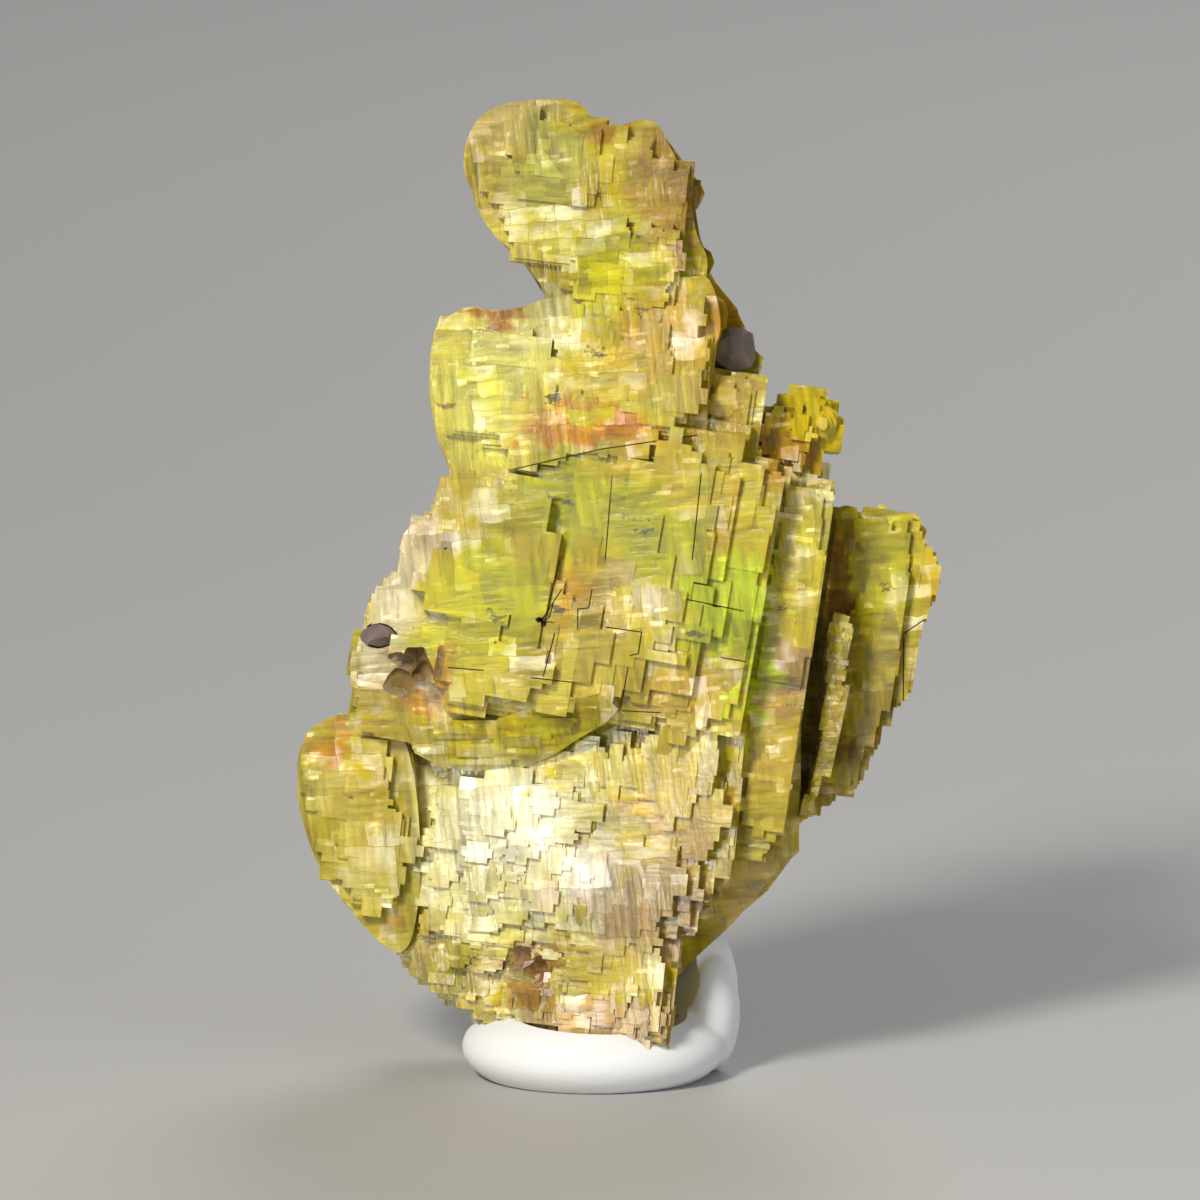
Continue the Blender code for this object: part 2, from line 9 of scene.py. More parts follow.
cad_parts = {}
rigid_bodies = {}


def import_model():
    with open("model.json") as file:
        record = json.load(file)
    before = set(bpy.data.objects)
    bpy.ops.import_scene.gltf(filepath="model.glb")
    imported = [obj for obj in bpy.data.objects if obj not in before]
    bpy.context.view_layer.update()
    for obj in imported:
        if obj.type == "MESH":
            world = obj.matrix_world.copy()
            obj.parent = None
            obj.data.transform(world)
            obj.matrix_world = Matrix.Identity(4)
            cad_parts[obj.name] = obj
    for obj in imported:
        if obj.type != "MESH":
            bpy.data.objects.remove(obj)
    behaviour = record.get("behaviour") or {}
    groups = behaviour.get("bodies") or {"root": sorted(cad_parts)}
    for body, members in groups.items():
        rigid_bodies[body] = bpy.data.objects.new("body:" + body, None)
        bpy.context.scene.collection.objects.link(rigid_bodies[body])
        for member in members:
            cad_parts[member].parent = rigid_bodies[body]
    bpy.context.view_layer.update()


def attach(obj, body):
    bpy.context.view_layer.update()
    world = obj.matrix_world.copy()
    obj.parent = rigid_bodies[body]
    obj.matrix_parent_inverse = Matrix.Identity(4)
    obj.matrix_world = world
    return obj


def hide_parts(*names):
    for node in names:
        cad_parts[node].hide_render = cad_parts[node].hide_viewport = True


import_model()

bpy.ops.object.select_all(action="DESELECT")

# Shapes are worked in millimetres, in the crystals' own place, and moved to metres at the end.
MM = 0.001
TO_ORIGIN = Vector((-0.492, -0.389, 0))
VIEW_TILT = math.radians(10)
ACROSS = Vector((1, 0, 0))
PICTURE_UP = Vector((0, math.sin(VIEW_TILT), math.cos(VIEW_TILT)))
SIGHT = Vector((0, math.cos(VIEW_TILT), -math.sin(VIEW_TILT)))
EDGE_LEAN = math.radians(-6)
SEAT_FLOOR = 0.55

# Camera: the middle of the picture, and the picture's width, at the crystals.
PICTURE_MIDDLE = (0.0, 11.825)
PICTURE_WIDE = 30.0
CAMERA_AWAY = 500.0

# What the lights point at, in metres.
LIT = (0, 0, 0.012)

# The crystal breaks along two directions at right angles, at uneven distances.
COLUMNS = (0.09, 0.14, 0.22, 0.3, 0.45, 0.7)
ROWS = (0.1, 0.16, 0.28, 0.4, 0.6, 0.9)
LATTICE = (0.11, 0.13)

BOOKS = {
    "head": {
        "outline": [
            (-1.5, 24.25), (-0.5, 24.15), (-0.1, 23.6), (0.15, 23.4), (1.0, 23.65), (1.4, 23.6),
            (1.65, 23.2), (2.05, 22.6), (2.3, 21.7), (2.45, 20.8), (2.7, 20.3), (2.5, 19.6),
            (2.7, 18.4), (1.0, 17.6), (-0.6, 17.8), (-1.25, 19.3), (-2.0, 20.3), (-2.75, 21.1),
            (-3.25, 22.1), (-3.4, 22.8), (-3.15, 23.6), (-2.5, 24.1),
        ],
        "at": (-0.4, 21.4), "front": -1.3, "turn": 10, "lean": 3, "thickness": 2.3,
        "rim": "rounded", "grain": 6,
    },
    "shoulder": {
        "outline": [
            (-4.2, 18.1), (-4.0, 18.7), (-3.25, 19.1), (-2.7, 18.95), (-2.2, 19.0), (-1.4, 19.25),
            (0.2, 19.6), (2.25, 19.9), (2.8, 19.7), (3.05, 18.6), (2.8, 18.0), (2.75, 16.8),
            (2.6, 15.4), (0.0, 14.6), (-2.5, 14.4), (-3.6, 14.7), (-3.75, 15.2), (-4.0, 15.9),
            (-4.2, 16.9),
        ],
        "at": (-0.6, 17.0), "front": -1.75, "turn": 11, "lean": 2, "thickness": 2.9,
        "rim": "rounded", "grain": 6,
    },
    "main": {
        "outline": [
            (-3.6, 14.9), (-1.5, 15.3), (0.5, 15.7), (2.5, 16.05), (3.65, 15.85), (3.75, 15.1),
            (4.5, 15.0), (4.38, 13.73), (3.43, 8.3), (2.0, 8.0), (0.7, 8.9),
            (-0.4, 9.1), (-2.0, 8.6), (-4.0, 8.4), (-4.8, 8.3), (-5.6, 8.4), (-6.0, 9.1),
            (-6.1, 10.1), (-5.9, 10.9), (-5.55, 11.8), (-5.0, 12.3), (-4.85, 13.2),
            (-4.2, 13.9), (-4.0, 14.5),
        ],
        "at": (0.0, 12.0), "front": -2.2, "turn": 13, "lean": 0, "thickness": 3.2,
        "rim": "stepped", "fineness": 0.8, "grain": 9.9,
    },
    "ledge": {
        "outline": [
            (-4.85, 8.7), (-3.75, 8.85), (-2.6, 8.85), (-1.9, 9.15), (-1.0, 9.35), (0.05, 9.55),
            (0.45, 9.1), (0.1, 8.7), (-0.7, 8.35), (-1.15, 8.0), (-2.0, 7.65), (-3.25, 7.55),
            (-4.05, 7.7), (-4.6, 8.05),
        ],
        "at": (-1.8, 9.1), "front": -2.5, "turn": 9, "lean": -34, "thickness": 1.5,
        "rim": "straight", "grain": 0,
    },
    "second_plate": {
        "outline": [
            (2.4, 17.5), (3.8, 17.35), (3.95, 16.6), (3.95, 15.2), (4.55, 15.05), (4.55, 14.55),
            (5.75, 14.48), (5.66, 13.43), (4.68, 6.7), (4.6, 6.1), (4.0, 5.4),
            (1.5, 5.2), (0.0, 8.0), (0.0, 16.0),
        ],
        "at": (4.0, 11.0), "front": -2.15, "turn": 12, "lean": 0, "thickness": 2.4,
        "rim": "stepped", "fineness": 0.8, "grain": 8.3,
    },
    "blade": {
        "outline": [
            (5.85, 11.5), (6.3, 11.2), (6.18, 10.2), (5.83, 7.9), (5.25, 6.65), (4.95, 6.4),
            (5.35, 7.6), (5.63, 9.68), (5.68, 11.2),
        ],
        "at": (5.5, 9.0), "front": -1.45, "turn": 18, "lean": 0, "thickness": 1.9,
        "rim": "stepped", "fineness": 0.3, "grain": 12,
    },
    "knob": {
        "outline": [
            (2.5, 15.2), (3.3, 16.4), (4.1, 16.6), (4.32, 16.65), (4.55, 16.87), (4.87, 16.95),
            (5.12, 17.1), (5.47, 16.95), (5.77, 16.72), (5.9, 16.3), (5.97, 15.95), (5.97, 15.45),
            (5.67, 15.5), (5.47, 15.3), (5.6, 14.5), (5.0, 13.2), (2.5, 13.2),
        ],
        "at": (4.8, 15.4), "front": -0.95, "turn": 4, "lean": 6, "thickness": 1.6,
        "rim": "stepped", "fineness": 0.6, "grain": 8,
    },
    "wing": {
        "outline": [
            (3.0, 14.0), (5.65, 14.1), (6.3, 13.95), (7.0, 14.2), (7.4, 14.0), (7.65, 14.05),
            (7.92, 13.8), (8.0, 13.35), (8.3, 12.97), (8.42, 12.72), (8.42, 12.2), (8.07, 11.3),
            (7.97, 10.9), (7.77, 10.05), (7.62, 9.37), (7.25, 9.05), (7.22, 8.75), (6.92, 8.45),
            (6.77, 7.92), (6.4, 7.15), (6.17, 6.92), (5.85, 6.87), (5.0, 6.3), (3.0, 6.5),
        ],
        "at": (6.8, 10.8), "front": -0.3, "turn": 14, "lean": -2, "thickness": 1.3,
        "rim": "stepped", "fineness": 0.3, "grain": 8,
    },
    "lower": {
        "outline": [
            (3.6, 9.3), (3.5, 7.0), (3.3, 5.3), (2.6, 4.3), (2.25, 3.6), (1.85, 2.8),
            (1.8, 1.8), (1.85, 1.1), (1.7, 0.55), (1.2, 0.35), (0.0, 0.4), (-1.25, 0.65),
            (-2.5, 1.0), (-3.3, 1.6), (-4.0, 2.1), (-4.75, 2.5), (-5.0, 3.2), (-5.0, 5.6),
            (-5.2, 7.6), (-4.0, 9.3),
        ],
        "at": (-0.5, 4.5), "front": -1.5, "turn": 19, "lean": 5, "thickness": 3.6,
        "rim": "stepped", "fineness": 0.55, "grain": 6,
    },
    "left_lobe": {
        "outline": [
            (-5.0, 3.0), (-5.7, 3.45), (-6.4, 4.3), (-7.1, 5.3), (-7.4, 6.1), (-7.55, 7.0),
            (-7.55, 7.9), (-7.25, 8.6), (-6.6, 8.95), (-5.9, 9.0), (-4.6, 8.6), (-4.4, 5.6),
            (-4.6, 3.4),
        ],
        "at": (-6.0, 6.2), "front": -0.05, "turn": 22, "lean": -3, "thickness": 1.9,
        "rim": "rounded", "grain": 6,
    },
    "back_flake": {
        "outline": [
            (1.6, 20.6), (2.5, 20.4), (2.85, 19.75), (3.4, 19.1), (3.6, 18.6), (3.75, 18.2),
            (4.1, 17.8), (3.9, 17.35), (3.5, 17.3), (2.9, 16.4), (1.4, 16.2),
        ],
        "at": (3.0, 18.4), "front": -0.1, "turn": 16, "lean": 10, "thickness": 0.55,
        "rim": "straight", "grain": 6,
    },
    "back": {
        "outline": [
            (4.6, 12.5), (5.0, 9.5), (5.0, 7.2), (4.9, 5.6), (4.1, 4.6), (3.25, 3.75),
            (2.5, 2.95), (1.7, 2.2), (0.6, 1.3), (-1.6, 1.5), (-3.4, 3.0), (-4.4, 6.0),
            (-4.7, 9.5), (-4.0, 12.6), (-3.2, 15.6), (-1.2, 17.6), (1.2, 18.6), (2.4, 17.0),
            (3.6, 15.4),
        ],
        "at": (0.3, 9.5), "front": 0.15, "turn": 13, "lean": 0, "thickness": 2.3,
        "rim": "straight", "grain": 6,
    },
}

# Terraces on the front of a book: centre (across, up), width, height, how far they stand out.
FRONT_STEPS = {
    "head": [
        (-1.1, 21.9, 2.5, 3.4, 0.30), (-1.0, 22.6, 1.9, 1.9, 0.46), (0.75, 20.9, 2.6, 3.6, 0.20),
        (1.0, 22.1, 1.9, 1.8, 0.40), (0.45, 19.8, 2.2, 2.0, 0.52), (1.2, 20.1, 1.3, 1.7, 0.66),
    ],
    "shoulder": [
        (-0.9, 17.0, 5.2, 3.0, 0.22), (-2.8, 17.1, 2.0, 2.3, 0.42), (0.4, 17.6, 2.6, 2.5, 0.50),
        (1.7, 17.9, 1.7, 2.2, 0.34), (-0.4, 16.2, 2.8, 1.4, 0.62), (1.3, 16.6, 1.6, 0.9, 0.72),
    ],
    "main": [
        (0.1, 12.1, 4.8, 6.2, 0.26), (-0.7, 12.4, 4.6, 4.5, 0.44), (-1.9, 11.3, 4.4, 3.5, 0.62),
        (-2.3, 10.6, 3.1, 2.7, 0.80), (-2.8, 12.1, 2.3, 2.5, 0.95), (-2.9, 10.0, 2.0, 1.6, 1.08),
        (1.2, 13.6, 2.2, 2.5, 0.52), (1.1, 11.2, 1.4, 1.6, 0.66), (3.0, 13.2, 1.2, 2.6, 0.14),
        (2.9, 10.6, 1.3, 2.2, 0.18),
    ],
    "second_plate": [
        (3.2, 16.4, 0.9, 1.2, 0.16), (4.9, 12.6, 0.8, 2.6, 0.12), (4.3, 7.2, 0.8, 1.8, 0.14),
    ],
    "knob": [(4.6, 15.9, 0.9, 1.2, 0.25), (5.2, 16.3, 0.6, 0.8, 0.40)],
    "wing": [(6.8, 11.9, 1.6, 2.8, 0.18), (6.6, 10.2, 1.1, 3.6, 0.30), (6.2, 8.6, 1.0, 2.2, 0.16)],
    "lower": [
        (-0.3, 5.8, 5.0, 4.8, 0.24), (-1.2, 5.5, 3.6, 4.4, 0.42), (1.0, 6.6, 3.0, 2.6, 0.40),
        (-2.0, 5.4, 2.2, 3.3, 0.60), (0.4, 4.2, 2.0, 1.9, 0.56), (-0.7, 2.2, 3.2, 1.7, 0.30),
        (0.7, 2.1, 1.5, 1.9, 0.46), (-3.4, 5.2, 1.8, 3.4, 0.34), (2.0, 7.4, 1.6, 1.5, 0.56),
        (1.7, 5.4, 1.2, 1.5, 0.30), (-2.9, 3.3, 1.6, 1.4, 0.26), (1.0, 1.1, 1.2, 0.9, 0.34),
    ],
    "left_lobe": [(-6.3, 6.4, 1.5, 3.2, 0.16), (-5.6, 5.8, 1.2, 3.0, 0.30)],
    "back": [(4.0, 6.6, 1.0, 1.6, 0.16)],
}

# The same on the back, drawn as if seen through the book.
BACK_STEPS = {
    "head": [(-1.2, 22.2, 2.6, 2.4, 0.22), (0.6, 21.2, 2.2, 3.0, 0.36)],
    "shoulder": [(-2.4, 16.9, 2.2, 2.6, 0.24)],
    "wing": [(6.6, 11.2, 1.9, 3.2, 0.20), (6.9, 10.4, 1.1, 1.8, 0.34)],
    "left_lobe": [(-5.9, 6.6, 1.7, 2.4, 0.22)],
    "back": [
        (0.4, 9.8, 6.0, 7.6, 0.28), (-0.6, 11.2, 4.4, 5.8, 0.50), (1.3, 8.0, 3.4, 4.4, 0.66),
        (-1.3, 12.4, 2.4, 3.2, 0.84), (0.2, 13.9, 2.6, 2.4, 0.96), (1.8, 7.0, 2.0, 2.2, 1.00),
        (-1.6, 6.2, 2.8, 3.0, 0.40), (0.4, 4.4, 2.8, 2.4, 0.34), (2.9, 11.4, 1.6, 3.2, 0.44),
        (-2.6, 9.6, 1.8, 2.8, 0.70), (0.6, 16.2, 2.0, 1.8, 0.40),
    ],
}

# Loose-edged flakes on a book's front: the box (across and up) that their middles lie in, how
# many, their widths, heights and rises above the terraces, their tilt in degrees and their tone.
FRONT_FLAKES = [
    ("head", (-3.2, 2.4, 18.0, 24.0), 22, (0.8, 2.0), (0.7, 1.8), (0.005, 0.03), 1.5, (0.2, 0.9)),
    ("head", (-0.6, 2.5, 18.0, 23.4), 50, (0.3, 1.0), (0.3, 1.2), (0.01, 0.05), 2.5, (0.2, 1.0)),
    ("shoulder", (-4.1, 2.9, 14.8, 19.6), 24, (0.8, 2.2), (0.7, 2.0), (0.005, 0.03), 1.5,
     (0.2, 0.9)),
    ("shoulder", (-2.4, 2.9, 15.0, 19.6), 50, (0.3, 1.0), (0.2, 1.0), (0.005, 0.04), 2, (0.2, 1.0)),
    ("main", (-5.8, 4.1, 8.5, 15.8), 44, (1.4, 3.2), (1.2, 3.4), (0.005, 0.03), 1.2, (0.2, 1.0)),
    ("main", (1.4, 4.3, 8.4, 15.6), 40, (0.2, 0.9), (1.8, 4.6), (0.005, 0.025), 1, (0.2, 1.0)),
    ("main", (-1.8, 1.3, 8.8, 13.4), 50, (0.3, 0.9), (0.7, 2.0), (0.01, 0.05), 1.6, (0.2, 1.0)),
    ("main", (-5.6, 4.0, 8.5, 15.6), 30, (0.5, 1.6), (0.12, 0.4), (0.005, 0.02), 1.6, (0.2, 1.0)),
    ("ledge", (-4.6, 0.3, 7.7, 9.4), 40, (0.8, 2.2), (0.08, 0.25), (0.01, 0.08), 3, (0.2, 0.8)),
    ("second_plate", (4.0, 5.6, 5.6, 14.6), 16, (0.4, 1.1), (0.8, 3.2), (0.005, 0.03), 1,
     (0.2, 0.9)),
    ("second_plate", (3.6, 5.7, 5.6, 14.5), 110, (0.6, 1.5), (0.08, 0.2), (0.01, 0.035), 2.5,
     (0.2, 1.0)),
    ("second_plate", (2.6, 4.4, 5.4, 17.3), 40, (0.3, 0.8), (0.2, 1.0), (0.01, 0.05), 1.5,
     (0.2, 1.0)),
    ("blade", (5.0, 6.2, 6.6, 11.3), 60, (0.15, 0.35), (0.08, 0.2), (0.01, 0.04), 5, (0.4, 1.0)),
    ("knob", (4.0, 5.8, 14.4, 16.9), 20, (0.3, 0.9), (0.3, 1.0), (0.04, 0.2), 7, (0.2, 0.9)),
    ("wing", (5.6, 8.3, 7.0, 14.0), 22, (0.4, 1.1), (1.2, 3.8), (0.005, 0.03), 1, (0.2, 0.8)),
    ("wing", (5.6, 8.3, 7.0, 14.1), 60, (0.08, 0.22), (0.6, 2.4), (0.005, 0.03), 1.5, (0.2, 0.9)),
    ("lower", (-4.8, 3.4, 0.8, 9.0), 60, (0.8, 2.2), (0.6, 2.0), (0.01, 0.06), 2, (0.3, 0.9)),
    ("lower", (-4.8, -0.2, 1.6, 8.2), 190, (0.25, 0.9), (0.2, 0.8), (0.02, 0.14), 9, (0.4, 1.0)),
    ("lower", (-0.4, 3.5, 0.8, 8.8), 100, (0.3, 1.3), (0.3, 1.4), (0.01, 0.07), 2, (0.2, 1.0)),
    ("lower", (-2.6, 1.8, 0.5, 2.4), 70, (0.12, 0.4), (0.25, 0.8), (0.02, 0.14), 5, (0.2, 1.0)),
    ("left_lobe", (-7.4, -4.6, 3.2, 8.8), 30, (0.5, 1.5), (0.5, 1.6), (0.005, 0.04), 2, (0.2, 0.9)),
    ("back_flake", (2.4, 4.0, 17.0, 20.3), 12, (0.3, 0.9), (0.3, 0.9), (0.02, 0.06), 3, (0.3, 0.8)),
]

BACK_FLAKES = [
    ("head", (-3.2, 2.4, 18.2, 24.0), 40, (0.5, 1.7), (0.5, 1.7), (0.02, 0.10), 2, (0.2, 0.8)),
    ("shoulder", (-4.1, 2.8, 14.8, 19.6), 40, (0.5, 1.6), (0.5, 1.6), (0.02, 0.10), 2, (0.2, 0.8)),
    ("wing", (4.6, 8.3, 7.0, 14.0), 36, (0.3, 1.2), (0.6, 2.8), (0.02, 0.10), 2, (0.2, 0.8)),
    ("left_lobe", (-7.4, -4.4, 3.2, 8.8), 30, (0.4, 1.3), (0.5, 1.8), (0.02, 0.10), 2, (0.3, 0.8)),
    ("knob", (3.6, 5.9, 13.6, 16.9), 18, (0.3, 0.9), (0.3, 1.0), (0.02, 0.12), 4, (0.2, 0.8)),
    ("back", (-4.4, 4.9, 1.8, 18.0), 130, (0.6, 2.4), (0.6, 2.6), (0.02, 0.14), 2, (0.2, 0.8)),
    ("back", (-4.4, 4.9, 1.8, 18.0), 170, (0.2, 0.8), (0.2, 1.0), (0.02, 0.14), 3, (0.1, 0.9)),
]

# Knots of intergrown plates on the rims: centre (across, back, up), and half sizes.
RIM_LUMPS = [
    ((-4.95, -0.2, 12.0), (0.55, 0.7, 0.6)),
    ((-5.1, 0.0, 11.3), (0.75, 0.9, 0.55)),
    ((-5.75, 0.2, 9.9), (0.5, 0.8, 0.7)),
    ((-5.3, -0.1, 8.7), (0.55, 0.7, 0.5)),
    ((-4.5, -0.6, 13.3), (0.5, 0.6, 0.5)),
    ((-3.6, -0.1, 18.3), (0.6, 0.8, 0.65)),
    ((7.6, 0.1, 13.5), (0.55, 0.5, 0.5)),
    ((8.0, 0.1, 12.3), (0.45, 0.5, 0.6)),
    ((2.4, -0.7, 20.2), (0.45, 0.5, 0.45)),
    ((2.2, -0.4, 21.9), (0.4, 0.6, 0.5)),
    ((2.8, -1.0, 18.9), (0.4, 0.5, 0.5)),
    ((5.5, -0.9, 16.2), (0.45, 0.5, 0.5)),
    ((6.1, -0.3, 13.95), (0.4, 0.4, 0.25)),
]

# Smoky quartz grains and the pits of lost crystals: centre (across, back, up), half sizes, and
# for a pit the tone of its walls.
GRAINS = {
    "quartz_grain_right": ((3.3, -0.7, 18.05), (0.64, 0.6, 0.64)),
    "quartz_grain_left": ((-5.5, -0.75, 10.95), (0.56, 0.5, 0.32)),
}
PITS = [
    ((-1.45, -2.75, 11.3), (0.2, 0.35, 0.17), 0.1),
    ((-4.75, -1.6, 9.75), (0.9, 0.95, 1.0), 0.12),
    ((-1.8, -1.75, 2.5), (0.75, 0.55, 0.95), 0.14),
]

# Open cracks, as runs of places (across, up) in the picture: the book, and the run.
CRACKS = [
    ("main", [(-0.95, 12.08), (-1.15, 11.78), (-1.25, 11.4), (-1.45, 11.25)]),
    ("main", [(-1.15, 11.78), (-1.45, 11.3), (-1.15, 11.27)]),
    ("main", [(-0.2, 12.08), (-0.28, 11.63), (-0.55, 11.6), (-0.55, 11.1)]),
    ("main", [(-1.12, 11.0), (-1.4, 9.95)]),
    ("main", [(-3.75, 10.15), (-2.9, 10.08)]),
    ("main", [(-1.7, 9.9), (-0.62, 9.78)]),
    ("main", [(0.17, 11.15), (1.03, 11.03), (0.95, 10.5), (0.75, 10.45), (0.5, 9.1)]),
    ("main", [(0.3, 14.88), (0.13, 12.83)]),
    ("main", [(-1.0, 12.83), (-1.38, 11.2)]),
    ("main", [(2.5, 14.95), (2.28, 12.83)]),
    ("main", [(0.55, 9.08), (1.5, 9.03)]),
    ("main", [(-2.2, 15.05), (0.0, 15.55), (2.4, 15.9)]),
    ("main", [(2.1, 11.85), (3.55, 11.55)]),
    ("main", [(3.0, 10.4), (3.6, 10.3)]),
    ("second_plate", [(4.3, 13.5), (3.9, 11.2)]),
    ("wing", [(8.08, 11.35), (7.55, 10.98), (7.55, 9.33)]),
    ("lower", [(2.6, 6.5), (2.58, 5.33)]),
]
CRACK_WIDE = 0.028
CRACK_DEEP = 0.09
CRACK_OVER = 0.4

# The putty's lumps and the hollow pressed into them: centre (right, back, up) and half sizes.
PUTTY_LUMPS = [
    ((-0.15, -0.25, 0.75), (3.3, 3.0, 1.3)),
    ((1.85, 1.1, 1.95), (1.6, 1.45, 2.1)),
    ((2.75, 0.3, 1.5), (0.75, 1.1, 1.5)),
    ((-1.4, 1.3, 1.3), (1.85, 1.55, 1.45)),
]
PUTTY_DENTS = [((0.0, -0.9, 2.9), (2.6, 2.2, 2.35))]

# A book's plates: how thick, how far each is let into the next, how many in a row break alike,
# and how far a smooth rim wanders.
PLATE_THICK = 0.14
PLATE_BITE = 0.03
PLATES_ALIKE = 4
RIM_UNEVEN = 0.045

# Flakes: how many shapes, the proportions that may have notches, how far they are let into a
# book, how often a place is tried, and where the corners that must be inside are.
FLAKE_KINDS = 16
SQUARISH = (0.45, 2.2)
FLAKE_ROOT = 0.35
TERRACE_ROOT = 0.3
BACK_ROOT = 0.3
TRIES = 12
CORNER_AT = 0.45
LEAST_RISE = 0.02
MOST_GROWN = 0.5

# Knots, broken facets, scoops in a pit, the gap round a grain and the putty's finest relief.
LUMP_LAYERS = 7
LUMP_CORNERS = 9
FACETS = 26
SCOOPS = 6
GRAIN_GAP = 0.05
PUTTY_SKIN = 0.07

# How far forward and back a flake may reach.
DEPTH_LIMITS = (-3.44, 4.22)

# How far short of the outline a plate may stop, by the way its rim ends.
PLATE_SHORT = {
    "stepped": (0, 0.03, 0.06, 0.12),
    "rounded": (0, 0.05, 0.1, 0.16, 0.24),
    "straight": (0, 0.04, 0.08, 0.15),
}


# Shape tools.


def picture_point(across, up, depth):
    """The point that is seen at a place in the picture, at a depth along the sight."""
    return ACROSS * across + PICTURE_UP * up + SIGHT * depth


def seen_at(across, back, up):
    """The point that is seen at a place in the picture and lies that far back."""
    depth = (back - up * math.sin(VIEW_TILT)) / math.cos(VIEW_TILT)
    return picture_point(across, up, depth)


def on_lattice(across, up, grain):
    """A place in the picture, measured along the crystal's lattice."""
    cosine, sine = math.cos(grain), -math.sin(grain)
    return across * cosine + up * sine, up * cosine - across * sine


def off_lattice(side, end, grain):
    """A place on the crystal's lattice, measured in the picture."""
    cosine, sine = math.cos(grain), -math.sin(grain)
    return side * cosine - end * sine, side * sine + end * cosine


class Book:
    """A stack of plates in one direction, as in the CAD model."""

    def __init__(self, at, front, turn, lean):
        self.across = at[0]
        self.height = (at[1] - front * math.sin(VIEW_TILT)) / math.cos(VIEW_TILT)
        self.front = front
        self.slope_across = math.tan(math.radians(turn))
        self.slope_up = math.tan(math.radians(lean))
        inward = Vector((self.slope_across, 1, -self.slope_up))
        self.stretch = inward.length

    def point(self, across, up, offset):
        """Where the sight through a place in the picture meets the plane an offset behind."""
        back = self.front + offset * self.stretch - (across - self.across) * self.slope_across
        back += (up * math.cos(VIEW_TILT) - self.height) * self.slope_up
        back -= up * math.sin(VIEW_TILT)
        depth = back / (math.cos(VIEW_TILT) + math.sin(VIEW_TILT) * self.slope_up)
        return picture_point(across, up, depth)

    def lowest(self, across, offset):
        """How low in the picture the plane may come before it is under the putty's seat."""
        back = self.front + offset * self.stretch - (across - self.across) * self.slope_across
        return SEAT_FLOOR * math.cos(VIEW_TILT) + back * math.sin(VIEW_TILT)


def open_book(key):
    """The facts of a book, its planes and the turn of its lattice."""
    facts = BOOKS[key]
    book = Book(facts["at"], facts["front"], facts["turn"], facts["lean"])
    return facts, book, math.radians(facts["grain"])


def inside(outline, across, up):
    """Whether a place is within an outline."""
    crossings = 0
    for (a0, u0), (a1, u1) in zip(outline[-1:] + outline, outline):
        if (u0 > up) != (u1 > up) and across < a0 + (up - u0) * (a1 - a0) / (u1 - u0):
            crossings += 1
    return crossings % 2 == 1


def moved_in(outline, by):
    """An outline drawn in towards its middle by about a distance."""
    middle_a = sum(a for a, u in outline) / len(outline)
    middle_u = sum(u for a, u in outline) / len(outline)
    moved = []
    for a, u in outline:
        away = max(math.hypot(a - middle_a, u - middle_u), 0.001)
        share = max(1 - by / away, 0.1)
        moved.append((middle_a + (a - middle_a) * share, middle_u + (u - middle_u) * share))
    return moved


def rounded(outline):
    """An outline with its corners cut twice."""
    for _ in range(2):
        cut = []
        for (a0, u0), (a1, u1) in zip(outline[-1:] + outline, outline):
            cut.append((a0 * 0.75 + a1 * 0.25, u0 * 0.75 + u1 * 0.25))
            cut.append((a0 * 0.25 + a1 * 0.75, u0 * 0.25 + u1 * 0.75))
        outline = cut
    return outline


def select_only(mesh, faces):
    """Selects these faces of a mesh in edit mode and no others."""
    for face in mesh.faces:
        face.select_set(False)
    for face in faces:
        face.select_set(True)


def smaller_patches(mesh):
    """The faces that don't hang together with the largest patch by their edges."""
    left = set(mesh.faces)
    patches = []
    while left:
        patch = {left.pop()}
        front = list(patch)
        while front:
            for edge in front.pop().edges:
                for other in edge.link_faces:
                    if other in left:
                        left.discard(other)
                        patch.add(other)
                        front.append(other)
        patches.append(patch)
    largest = max(patches, key=len)
    return [f for f in mesh.faces if f not in largest]


def corner_contacts(mesh):
    """Cells that meet another only at a corner."""
    found = []
    for vertex in mesh.verts:
        cells = vertex.link_faces
        if len(cells) == 2 and not set(cells[0].edges) & set(cells[1].edges):
            found.append(cells[0])
    return found


def close_up():
    """Turns the faces of the body in edit mode outwards, and leaves edit mode."""
    bpy.ops.mesh.select_all(action="SELECT")
    bpy.ops.mesh.normals_make_consistent(inside=False)
    bpy.ops.object.mode_set(mode="OBJECT")


def thicken_sheet():
    """Merges the flat cells of the sheet in edit mode and extrudes it one unit down."""
    bpy.ops.mesh.select_all(action="SELECT")
    bpy.ops.mesh.dissolve_limited(angle_limit=math.radians(1))
    bpy.ops.mesh.select_all(action="SELECT")
    bpy.ops.mesh.extrude_region_move(TRANSFORM_OT_translate={"value": (0, 0, -1)})
    close_up()


def cuts(low, high, spaces, dice):
    """Uneven places of the lattice's lines over a range, with one at each end."""
    places = [low]
    while places[-1] < high:
        places.append(places[-1] + dice.choice(spaces))
    return places


